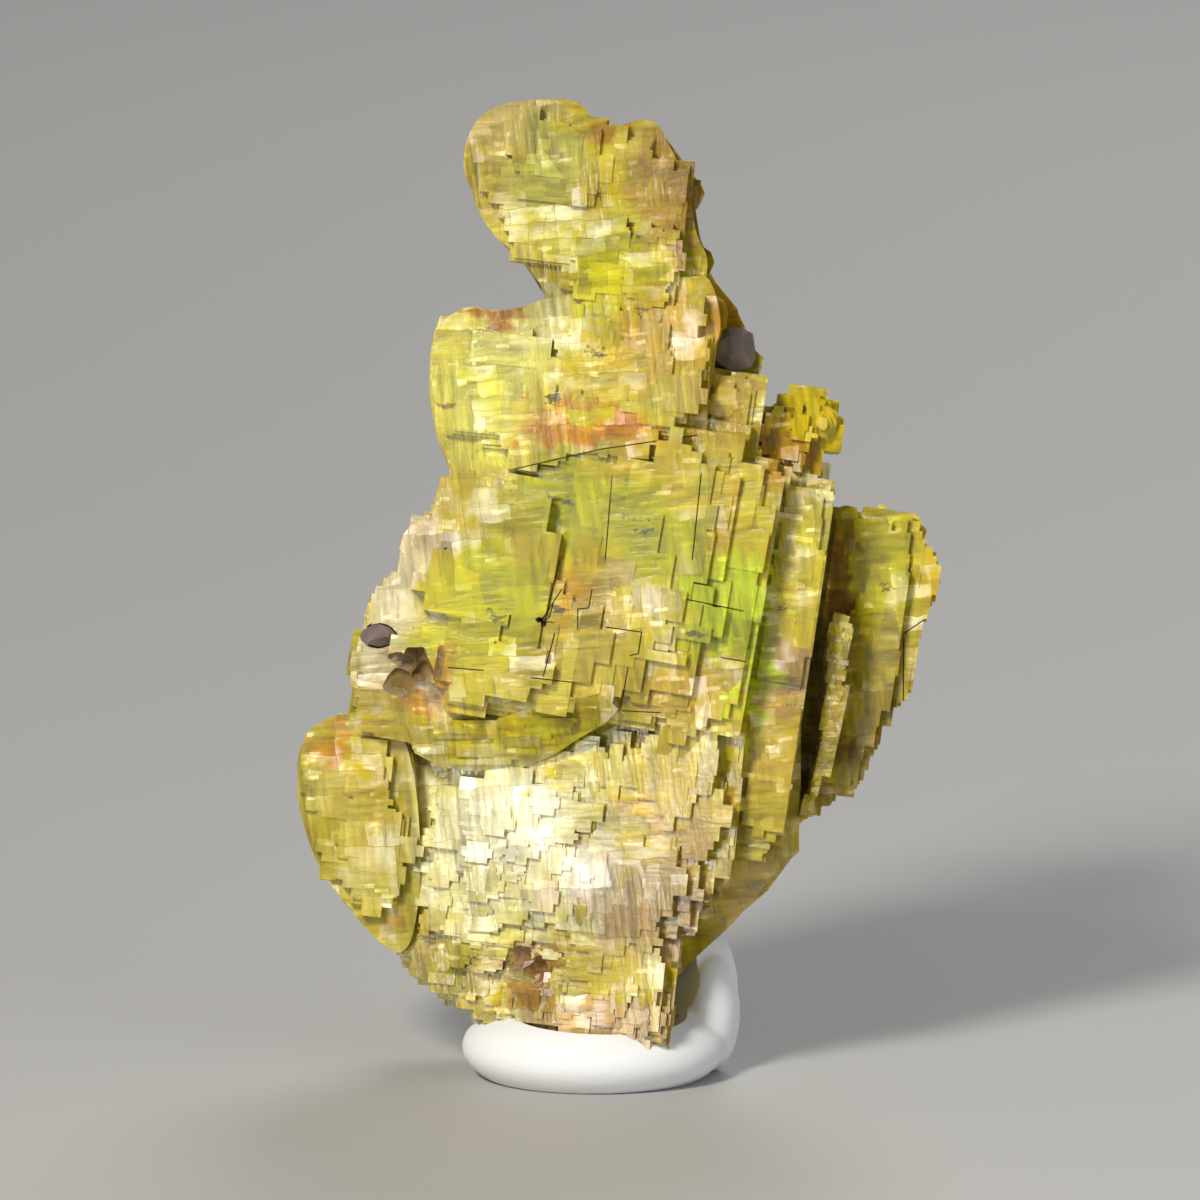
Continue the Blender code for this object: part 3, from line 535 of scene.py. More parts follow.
def stepped_sheet(outline, grain, fineness, dice):
    """A sheet one unit thick whose rim breaks in steps along the crystal's lattice."""
    sides, ends = zip(*[on_lattice(a, u, grain) for a, u in outline])
    edge = max(sides)
    spaces = [c * fineness for c in COLUMNS]
    columns = [edge - c for c in reversed(cuts(0, edge - min(sides), spaces, dice))]
    rows = cuts(min(ends) - 0.05, max(ends), [r * fineness for r in ROWS], dice)
    bpy.ops.mesh.primitive_grid_add(
        x_subdivisions=len(columns) - 1, y_subdivisions=len(rows) - 1, size=1
    )
    sheet = bpy.context.object
    for vertex in sheet.data.vertices:
        side = columns[round((vertex.co.x + 0.5) * (len(columns) - 1))]
        end = rows[round((vertex.co.y + 0.5) * (len(rows) - 1))]
        vertex.co = (*off_lattice(side, end, grain), 0)
    bpy.ops.object.mode_set(mode="EDIT")
    mesh = bmesh.from_edit_mesh(sheet.data)
    gone = [f for f in mesh.faces if not inside(outline, *f.calc_center_bounds().xy)]
    while gone:
        select_only(mesh, gone)
        bpy.ops.mesh.delete(type="FACE")
        mesh = bmesh.from_edit_mesh(sheet.data)
        gone = corner_contacts(mesh) or smaller_patches(mesh)
    thicken_sheet()
    return sheet


def plain_sheet(outline):
    """A sheet one unit thick with the outline as it is."""
    bpy.ops.mesh.primitive_circle_add(vertices=len(outline), radius=1, fill_type="NGON")
    sheet = bpy.context.object
    for vertex, (across, up) in zip(sheet.data.vertices, outline):
        vertex.co = (across, up, 0)
    bpy.ops.object.mode_set(mode="EDIT")
    thicken_sheet()
    return sheet


def lay_plate(plate, book, start, thick):
    """Brings a sheet to its place in a book, from one offset on, and as thick as told."""
    for vertex in plate.data.vertices:
        vertex.co = book.point(vertex.co.x, vertex.co.y, start - vertex.co.z * thick)


def stow(thing, shelf, tone=None):
    """Moves an object from the scene's own collection to a shelf, marked with its tone."""
    if tone is not None:
        give_tone(thing.data, tone)
    for holder in list(thing.users_collection):
        holder.objects.unlink(thing)
    shelf.objects.link(thing)


def give_tone(mesh, tone):
    """Marks a plate with the tone that its material reads."""
    marks = mesh.attributes.new("tone", "FLOAT", "FACE")
    for mark in marks.data:
        mark.value = tone


def join_all(first, shelf, operation):
    """Joins a body with all on a shelf, or cuts it with them, and clears the shelf."""
    bpy.ops.object.select_all(action="DESELECT")
    bpy.context.view_layer.objects.active = first
    first.select_set(True)
    step = first.modifiers.new("join", "BOOLEAN")
    step.operation = operation
    step.operand_type = "COLLECTION"
    step.collection = shelf
    step.solver = "MANIFOLD"
    bpy.ops.object.modifier_apply(modifier="join")
    for thing in list(shelf.objects):
        mesh = thing.data
        bpy.data.objects.remove(thing)
        if mesh.users == 0:
            bpy.data.meshes.remove(mesh)


# The crystals.


def book_plates(key, shelf):
    """The thin plates that a book is made of."""
    dice = random.Random(key)
    facts, book, grain = open_book(key)
    count = max(2, round(facts["thickness"] / PLATE_THICK))
    each = facts["thickness"] / count
    for i in range(count):
        offset = i * each
        if i % PLATES_ALIKE == 0:
            steps_seed = dice.random()
        shrink = 0.0 if i == 0 else dice.choice(PLATE_SHORT[facts["rim"]])
        outline = moved_in(facts["outline"], shrink)
        outline = [(a, max(u, book.lowest(a, offset + each))) for a, u in outline]
        if facts["rim"] == "stepped":
            plate = stepped_sheet(outline, grain, facts["fineness"], random.Random(steps_seed))
        else:
            outline = [
                (a + dice.gauss(0, RIM_UNEVEN), u + dice.gauss(0, RIM_UNEVEN)) for a, u in outline
            ]
            plate = plain_sheet(rounded(outline) if facts["rim"] == "rounded" else outline)
        lay_plate(plate, book, offset, each + PLATE_BITE)
        stow(plate, shelf, dice.uniform(0.2, 0.9))


def flake_masters(count):
    """Cleavage flakes, one unit each way: a whole one, then ones with notched corners."""
    dice = random.Random(7)
    made = []
    cells = 7
    for number in range(count):
        bpy.ops.mesh.primitive_grid_add(x_subdivisions=cells, y_subdivisions=cells, size=1)
        flake = bpy.context.object
        bpy.ops.object.mode_set(mode="EDIT")
        mesh = bmesh.from_edit_mesh(flake.data)
        corners = [
            (side, end, dice.choice((0, 0, 0, 0, 1, 2)), dice.choice((1, 1, 2)))
            for side in (-1, 1) for end in (-1, 1)
        ]
        gone = []
        for face in mesh.faces:
            centre = face.calc_center_median()
            column, row = centre.x * cells, centre.y * cells
            if any(
                (cells - 1) / 2 - side * column < wide and (cells - 1) / 2 - end * row < high
                for side, end, wide, high in corners
            ):
                gone.append(face)
        if number > 0:
            select_only(mesh, gone)
            bpy.ops.mesh.delete(type="FACE")
        thicken_sheet()
        made.append(flake.data)
        bpy.data.objects.remove(flake)
    return made


def rise_at(steps, grain, across, up):
    """How far the terraces stand out at a place."""
    rise = 0.0
    for a, u, wide, high, out in steps:
        side, end = on_lattice(across - a, up - u, grain)
        if abs(side) < wide / 2 and abs(end) < high / 2:
            rise = max(rise, out)
    return rise


def reach(facts, back, rise, root):
    """The offsets of a flake's outer and inner face, on the front or the back of a book."""
    if back:
        return facts["thickness"] - BACK_ROOT, facts["thickness"] + rise
    return -rise, root


def put_flake(book, grain, place, size, span, tilt, tone, shelf, dice, master=None):
    """Copies a flake to a place on a book, from one offset to another."""
    if master is None:
        squarish = SQUARISH[0] < size[0] / size[1] < SQUARISH[1]
        master = dice.choice(masters) if squarish else masters[0]
    mesh = master.copy()
    side_tilt = math.tan(math.radians(dice.uniform(-tilt, tilt)))
    end_tilt = math.tan(math.radians(dice.uniform(-0.4 * tilt, tilt)))
    for vertex in mesh.vertices:
        side, end = vertex.co.x * size[0], vertex.co.y * size[1]
        across, up = off_lattice(side, end, grain)
        offset = span[0] if vertex.co.z > -0.5 else span[1]
        offset += side * side_tilt + end * end_tilt
        vertex.co = book.point(place[0] + across, place[1] + up, offset)
    ends = [vertex.co.y for vertex in mesh.vertices]
    inward = max(0.0, DEPTH_LIMITS[0] - min(ends)) - max(0.0, max(ends) - DEPTH_LIMITS[1])
    for vertex in mesh.vertices:
        vertex.co.y += inward
    stow(bpy.data.objects.new("flake", mesh), shelf, tone)


def terraces(key, steps, back, shelf):
    """The broad steps of a book, each a pile of large flakes whose rims don't quite meet."""
    dice = random.Random(f"{key} terraces {back}")
    facts, book, grain = open_book(key)
    for across, up, wide, high, rise in steps:
        grown = 0.0
        master = dice.choice(masters)
        while rise > LEAST_RISE:
            span = reach(facts, back, rise, TERRACE_ROOT)
            place = (
                across + dice.uniform(-0.3, 0.3) * grown, up + dice.uniform(-0.3, 0.3) * grown
            )
            put_flake(
                book, grain, place, (wide + grown, high + grown), span, 0,
                dice.uniform(0.3, 0.7), shelf, dice, master,
            )
            grown += dice.uniform(0.04, 0.2)
            rise -= dice.uniform(0.06, 0.12)
            if grown > MOST_GROWN:
                break


def scatter_flakes(field, back, shelf):
    """Flakes with their edges along the lattice, within a book's outline."""
    key, (left, right, low, high), count, widths, heights, rises, tilt, tones = field
    dice = random.Random(str(field))
    facts, book, grain = open_book(key)
    steps = (BACK_STEPS if back else FRONT_STEPS).get(key, [])
    deepest = facts["thickness"] if back else 0.0
    placed = tries = 0
    while placed < count and tries < count * TRIES:
        tries += 1
        wide = LATTICE[0] * max(1, round(dice.uniform(*widths) / LATTICE[0]))
        tall = LATTICE[1] * max(1, round(dice.uniform(*heights) / LATTICE[1]))
        side, end = on_lattice(dice.uniform(left, right), dice.uniform(low, high), grain)
        side, end = side // LATTICE[0] * LATTICE[0], end // LATTICE[1] * LATTICE[1]
        corners = [
            off_lattice(side + i * wide * CORNER_AT, end + j * tall * CORNER_AT, grain)
            for i in (-1, 1) for j in (-1, 1)
        ]
        if any(u <= book.lowest(a, deepest) for a, u in corners):
            continue
        if not all(inside(facts["outline"], a, u) for a, u in corners):
            continue
        place = off_lattice(side, end, grain)
        rise = rise_at(steps, grain, *place) + dice.uniform(*rises)
        span = reach(facts, back, rise, FLAKE_ROOT)
        put_flake(
            book, grain, place, (wide, tall), span, tilt, dice.uniform(*tones), shelf, dice
        )
        placed += 1


def rim_lump(number, centre, half, shelf):
    """A knot of small rounded plates on the rim, each turned a little its own way."""
    dice = random.Random(number)
    for i in range(LUMP_LAYERS):
        share = math.sin(math.pi * (i + 0.9) / (LUMP_LAYERS + 0.8))
        book = Book(
            (centre[0], centre[2]), centre[1] - half[1], dice.uniform(-5, 22), dice.uniform(-8, 8)
        )
        outline = []
        for k in range(LUMP_CORNERS):
            way = 2 * math.pi * (k + dice.uniform(-0.2, 0.2)) / LUMP_CORNERS
            out = share * dice.uniform(0.8, 1.1)
            across, up = half[0] * out * math.cos(way), half[2] * out * math.sin(way)
            outline.append((centre[0] + across, centre[2] + up))
        plate = plain_sheet(outline)
        lay_plate(plate, book, 2 * half[1] * i / LUMP_LAYERS, 2.6 * half[1] / LUMP_LAYERS)
        stow(plate, shelf, dice.uniform(0.3, 1))


def broken_lump(name, centre, half, dice, growth=0.0):
    """A grain with flat broken facets: a ball cut by planes."""
    bpy.ops.mesh.primitive_ico_sphere_add(subdivisions=3, radius=1, location=(0, 0, 0))
    lump = bpy.context.object
    lump.name = name
    bpy.ops.object.mode_set(mode="EDIT")
    for _ in range(FACETS):
        way = Vector((dice.gauss(0, 1), dice.gauss(0, 1), dice.gauss(0, 1))).normalized()
        bpy.ops.mesh.select_all(action="SELECT")
        bpy.ops.mesh.bisect(
            plane_co=way * dice.uniform(0.72, 0.85), plane_no=way, use_fill=True, clear_outer=True
        )
    bpy.ops.mesh.select_all(action="SELECT")
    bpy.ops.mesh.dissolve_limited(angle_limit=math.radians(2))
    close_up()
    place = seen_at(*centre)
    for vertex in lump.data.vertices:
        vertex.co = place + Vector([c * (h + growth) for c, h in zip(vertex.co, half)])
    return lump


def rough_pit(number, centre, half, tone, shelf):
    """A hollow where part of the crystal crumbled away."""
    dice = random.Random(number + 40)
    for _ in range(SCOOPS):
        size = [h * dice.uniform(0.4, 0.62) for h in half]
        place = [c + dice.uniform(-1, 1) * (h - s) for c, h, s in zip(centre, half, size)]
        stow(broken_lump("scoop", place, size, dice), shelf, tone)


def crack_cutters(shelf):
    """Thin bars, end to end along every crack, let a little way into the surface."""
    for key, run in CRACKS:
        facts, book, grain = open_book(key)
        for (a0, u0), (a1, u1) in zip(run, run[1:]):
            middle = ((a0 + a1) / 2, (u0 + u1) / 2)
            rise = rise_at(FRONT_STEPS.get(key, []), grain, *middle)
            bpy.ops.mesh.primitive_cube_add(size=1)
            bar = bpy.context.object
            long = math.hypot(a1 - a0, u1 - u0)
            ahead = ((a1 - a0) / long, (u1 - u0) / long)
            for vertex in bar.data.vertices:
                run_by, side_by = vertex.co.x * (long + CRACK_WIDE), vertex.co.y * CRACK_WIDE
                across = middle[0] + run_by * ahead[0] - side_by * ahead[1]
                up = middle[1] + run_by * ahead[1] + side_by * ahead[0]
                offset = -CRACK_OVER if vertex.co.z < 0 else CRACK_DEEP
                vertex.co = book.point(across, up, offset - rise)
            bpy.ops.object.mode_set(mode="EDIT")
            close_up()
            stow(bar, shelf, 0.0)


def make_crystals():
    """All the plates, flakes and knots in one closed body, with its pits."""
    shelf = bpy.data.collections.new("plates")
    for key in BOOKS:
        book_plates(key, shelf)
        terraces(key, FRONT_STEPS.get(key, []), False, shelf)
        terraces(key, BACK_STEPS.get(key, []), True, shelf)
    for field in FRONT_FLAKES:
        scatter_flakes(field, False, shelf)
    for field in BACK_FLAKES:
        scatter_flakes(field, True, shelf)
    for number, (centre, half) in enumerate(RIM_LUMPS):
        rim_lump(number, centre, half, shelf)
    body = shelf.objects[0]
    body.name = "uranocircite_plates"
    shelf.objects.unlink(body)
    bpy.context.scene.collection.objects.link(body)
    join_all(body, shelf, "UNION")
    for number, (centre, half, tone) in enumerate(PITS):
        rough_pit(number, centre, half, tone, shelf)
    for name, (centre, half) in GRAINS.items():
        hollow = broken_lump("hollow", centre, half, random.Random(name), GRAIN_GAP)
        stow(hollow, shelf, 0.1)
    crack_cutters(shelf)
    join_all(body, shelf, "DIFFERENCE")
    bpy.ops.object.select_all(action="DESELECT")
    bpy.context.view_layer.objects.active = body
    bpy.ops.object.mode_set(mode="EDIT")
    mesh = bmesh.from_edit_mesh(body.data)
    select_only(mesh, smaller_patches(mesh))
    bpy.ops.mesh.delete(type="VERT")
    bpy.ops.object.mode_set(mode="OBJECT")
    return body


def ball(centre, half, segments):
    """A ball, squashed to its half sizes."""
    bpy.ops.mesh.primitive_uv_sphere_add(segments=segments, ring_count=segments // 2, radius=1)
    made = bpy.context.object
    for vertex in made.data.vertices:
        vertex.co = Vector(centre) + Vector([c * h for c, h in zip(vertex.co, half)])
    return made


def make_putty():
    """The putty: a squashed pad with a thumbed-up fold behind it, let in for the crystals."""
    shelf = bpy.data.collections.new("putty lumps")
    body, *lumps = [ball(centre, half, 64) for centre, half in PUTTY_LUMPS]
    body.name = "kneaded_putty"
    for lump in lumps:
        stow(lump, shelf)
    join_all(body, shelf, "UNION")
    bpy.ops.mesh.primitive_cube_add(size=20, location=(0, 0, -10))
    bpy.ops.object.transform_apply(location=True)
    stow(bpy.context.object, shelf)
    join_all(body, shelf, "DIFFERENCE")
    skin = body.modifiers.new("skin", "REMESH")
    skin.mode = "VOXEL"
    skin.voxel_size = PUTTY_SKIN
    bpy.ops.object.modifier_apply(modifier="skin")
    soften = body.modifiers.new("soften", "SMOOTH")
    soften.factor = 0.5
    soften.iterations = 5
    bpy.ops.object.modifier_apply(modifier="soften")
    for centre, half in PUTTY_DENTS:
        stow(ball(centre, half, 48), shelf)
    join_all(body, shelf, "DIFFERENCE")
    for vertex in body.data.vertices:
        vertex.co.z = max(vertex.co.z, 0)
    bpy.ops.object.shade_smooth_by_angle(angle=math.radians(40))
    return body


def settle(piece, node):
    """Brings a finished piece to metres and its place, and ties it to the CAD model."""
    piece.data.transform(Matrix.Scale(MM, 4) @ Matrix.Translation(TO_ORIGIN))
    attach(piece, "root")
    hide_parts(node)


# Materials.


def linear(hex_code):
    """Linear colour of an sRGB hex code."""
    parts = [int(hex_code[i:i + 2], 16) / 255 for i in (1, 3, 5)]
    return (*[p / 12.92 if p <= 0.04045 else ((p + 0.055) / 1.055) ** 2.4 for p in parts], 1.0)


def new_material(name):
    """A material, and the function that adds its nodes."""
    material = bpy.data.materials.new(name)
    material.use_nodes = True
    tree = material.node_tree
    tree.nodes.clear()

    def add(kind, sockets, **settings):
        """Adds a node: sockets maps an input to a value or to the output that feeds it."""
        made = tree.nodes.new("ShaderNode" + kind)
        for key, value in settings.items():
            setattr(made, key, value)
        for socket, value in sockets.items():
            if isinstance(value, bpy.types.NodeSocket):
                tree.links.new(value, made.inputs[socket])
            else:
                made.inputs[socket].default_value = value
        return made.outputs

    return material, add


# Colour zones: hex colour, strength, centre (across, up) in the picture, half width and height,
# and for some how far back they are centred and their half depth.
ZONES = [
    # head: cream rim, grey-green middle, yellow-green neck, pink and tan right side
    ("#C8B27C", 0.75, (-2.6, 23.6), (1.4, 1.2)),
    ("#ACAE5E", 0.75, (-1.4, 22.2), (1.0, 1.2)),
    ("#C2BA54", 0.70, (0.0, 20.3), (1.3, 1.3)),
    ("#9C7448", 0.80, (1.6, 21.9), (0.9, 1.8)),
    ("#D0BE48", 0.70, (2.1, 20.1), (0.6, 0.8)),
    ("#7E4C2A", 0.80, (2.5, 21.6), (0.5, 1.8)),
    ("#94502E", 0.80, (-0.1, 23.3), (0.4, 0.4)),
    # shoulder: butter yellow, a red-brown top corner, white fibres, pink right side, rust band
    ("#DCD370", 0.85, (-3.0, 16.9), (1.6, 2.3)),
    ("#8C4428", 0.95, (-2.8, 18.9), (0.8, 0.45)),
    ("#CCCA94", 0.75, (-1.2, 18.6), (0.8, 0.7)),
    ("#C49A50", 0.75, (1.5, 18.3), (1.4, 1.2)),
    ("#C47818", 0.95, (-0.3, 16.2), (1.9, 0.55)),
    ("#B45A14", 0.70, (-0.2, 16.2), (0.8, 0.3)),
    ("#B0803A", 0.60, (2.9, 16.8), (0.9, 0.8)),
    # front plate: lime patches, olive left side, rust in the middle, pink towards the foot
    ("#C0BA30", 0.80, (-3.2, 11.8), (1.6, 1.5)),
    ("#BC7A30", 0.55, (-0.9, 12.4), (0.6, 0.7)),
    ("#C4A07A", 0.55, (0.4, 11.6), (0.9, 0.8)),
    ("#BE9A54", 0.75, (2.1, 9.5), (1.5, 0.9)),
    # second plate: golden above, pink at its middle and foot, a painted highlight along its top;
    # the blade pale cream, its own colour and partly painted highlight
    ("#BEAC30", 0.70, (4.9, 12.6), (0.6, 1.6)),
    ("#B08468", 0.75, (4.7, 9.9), (0.8, 0.8)),
    ("#B89650", 0.65, (4.3, 7.8), (0.8, 1.2)),
    # Painted highlight: the bright top of the second plate.
    ("#E0D8B0", 0.70, (5.2, 14.3), (0.9, 0.35)),
    # The blade: pale cream, partly its own colour and partly painted highlight.
    ("#D8CA96", 0.75, (5.95, 9.5), (0.35, 2.2)),
    # ledge and lower body: olive band, brilliant cream, a near-white patch that is partly painted
    # highlight, white, amber window, tan
    ("#D0B824", 0.90, (-2.0, 8.3), (2.6, 0.75)),
    ("#DED6A2", 0.95, (-2.7, 5.6), (2.4, 2.6)),
    # Near-white middle of the lower body: pale colour with a painted highlight over it.
    ("#F4EFD6", 0.85, (-2.2, 6.1), (1.4, 1.1)),
    ("#DCCCB8", 0.90, (-0.4, 5.0), (0.8, 0.9)),
    ("#A88468", 0.85, (1.3, 4.2), (1.6, 1.3)),
    ("#B49C44", 0.75, (1.6, 7.6), (1.2, 0.8)),
    ("#C08A1C", 0.85, (0.9, 6.8), (0.9, 0.5)),
    ("#C4A05E", 0.70, (2.2, 6.6), (1.0, 1.6)),
    ("#D2AA88", 0.85, (0.2, 1.4), (2.2, 0.8)),
    # left lobe, wing and knob, and painted shade in the deep gaps beside the wing and at the right
    # of the lower body
    ("#D48E50", 0.80, (-6.8, 7.6), (0.7, 0.9)),
    ("#C8B868", 0.80, (-6.4, 5.4), (1.1, 2.2)),
    ("#A8683C", 0.65, (-5.5, 3.2), (0.5, 0.5)),
    ("#C2AE14", 0.95, (7.2, 12.4), (1.5, 2.0)),
    ("#947A1E", 0.90, (6.6, 9.2), (1.3, 2.2)),
    # Painted shade: dark red-brown in the deep gap between the second plate and the wing, above and
    # below.
    ("#6A2E14", 0.90, (5.9, 12.2), (0.45, 2.2), (0.0, 0.9)),
    ("#7A4A1E", 0.80, (5.6, 8.6), (0.5, 2.4), (0.0, 0.9)),
    ("#D2B474", 0.85, (3.7, 4.7), (1.3, 1.7), (1.0, 2.6)),
    # Painted shade: the dark gap at the right of the lower body.
    ("#5A3A1E", 0.80, (2.4, 4.6), (0.35, 1.6), (0.0, 0.8)),
    ("#D8AE34", 0.80, (8.0, 12.6), (0.5, 1.6)),
    ("#B4702A", 0.70, (4.5, 15.3), (0.8, 0.9)),
    ("#DABC50", 0.90, (5.1, 16.2), (0.8, 0.8)),
    # rims round the hollows, and the hollows
    ("#E6DCC0", 0.85, (-5.2, 11.9), (0.9, 1.5)),
    ("#E0CCB8", 0.75, (-4.5, 13.4), (0.6, 0.9)),
    ("#E8DFC0", 0.80, (-5.8, 10.3), (0.6, 0.8)),
    ("#C0742C", 0.80, (-4.6, 9.8), (0.95, 0.95)),
    ("#4E2C1A", 0.95, (-4.65, 9.9), (0.65, 0.7)),
    ("#8A5230", 0.85, (-1.8, 2.5), (0.7, 0.8)),
    ("#B87A2C", 0.85, (3.3, 18.6), (0.7, 1.2)),
    # the back: cream, pink and rust patches of the same kind
    ("#DCD4A8", 0.75, (-1.6, 12.6), (1.8, 2.6), (4.2, 2.2)),
    ("#A8703C", 0.60, (1.6, 7.4), (1.2, 1.6), (4.2, 2.2)),
    ("#D2C88A", 0.70, (0.2, 21.8), (1.5, 2.0), (2.6, 1.4)),
    ("#C09A70", 0.60, (2.2, 13.4), (1.3, 1.8), (4.2, 2.2)),
    ("#D8D09C", 0.70, (6.9, 10.6), (1.0, 2.6), (2.6, 1.6)),
    ("#CFC69A", 0.70, (-1.0, 4.4), (2.0, 1.6), (4.2, 2.2)),
]

# The lime zones lie over all else.
LIME_ZONES = [
    ("#A29C00", 1.00, (-0.8, 14.3), (1.5, 1.2)),
    ("#9E9800", 1.00, (1.3, 13.8), (1.6, 1.2)),
    ("#B2B800", 1.00, (2.9, 11.9), (1.1, 1.6)),
    ("#BCC800", 0.80, (3.7, 11.0), (0.35, 2.9)),
    ("#AEAA10", 0.60, (-2.4, 11.9), (1.1, 0.9)),
    ("#B4AC18", 0.50, (0.2, 19.6), (0.9, 0.9)),
    ("#B0A818", 0.50, (7.3, 12.6), (1.0, 1.2)),
    ("#C4BC20", 0.50, (-1.0, 8.5), (1.4, 0.4)),
]

# Where dark mineral specks gather: centre (across, up), half width and height.
SPECKED = [
    (-0.95, 14.45, 0.6, 0.22), (1.1, 14.15, 0.75, 0.2), (1.15, 13.8, 0.4, 0.15),
    (0.0, 18.1, 0.5, 0.3), (-1.1, 16.95, 0.35, 0.3), (4.6, 11.8, 0.35, 0.2), (2.5, 11.3, 0.7, 0.2),
    (-1.0, 11.8, 0.35, 0.2), (1.0, 8.6, 0.4, 0.25), (-2.6, 11.6, 0.6, 0.3), (7.1, 12.0, 0.3, 0.3),
]

# The mineral's own colours, as stops of a ramp: over the clouds, and from plate to plate.
CLOUDS = ((0.32, "#A48C38"), (0.5, "#B8A244"), (0.68, "#CAB85C"))
MOODS = (
    (0.0, "#A07440"), (0.3, "#AC9230"), (0.6, "#98980C"), (0.8, "#BAB23C"), (1.0, "#E0D690"),
)

# Courses of flakes, in millimetres: width, height, joint, its softness and grey, then how the
# courses shift, squash and how often. Real flakes go down to a few hundredths of a millimetre,
# too fine to show, so these and the ribs are drawn coarser.
# The third course, of small chips, only marks where painted sparkle highlights go.
BRICKS = (
    (1.15, 0.42, 0.012, 0.3, 0.5, 0.37, 0.6, 3),
    (0.47, 1.3, 0.01, 0.3, 0.5, 0.61, 1.6, 2),
    (0.36, 0.12, 0.01, 0.5, 0.4, 0.43, 0.7, 3),
)

# How far back the zones of the front are centred and their half depth, and the same for specks.
FRONT_DEPTH = (-2.0, 3.4)
SPECKS_BACK, SPECKS_DEEP = -1.5, 10.0


def nearness(add, place, middle, half):
    """How far a place is from a middle, in half sizes."""
    scale = [1 / h for h in half]
    shift = [-m * s for m, s in zip(middle, scale)]
    away = add("VectorMath", {0: place, 1: scale, 2: shift}, operation="MULTIPLY_ADD")[0]
    return add("VectorMath", {0: away}, operation="LENGTH")[1]


def tint(add, colour, zones, place):
    """Lays soft patches of colour over a colour."""
    for hex_code, strength, (across, up), (half_a, half_u), *depth in zones:
        back, half_back = depth[0] if depth else FRONT_DEPTH
        middle = seen_at(across, back, up) + TO_ORIGIN
        away = nearness(add, place, middle, (half_a, half_back, half_u))
        share = add(
            "MapRange", {"Value": away, 1: 1.3, 2: 0.6, 3: 0.0, 4: strength},
            interpolation_type="SMOOTHSTEP",
        )[0]
        colour = add("Mix", {0: share, 6: colour, 7: linear(hex_code)}, data_type="RGBA")[2]
    return colour


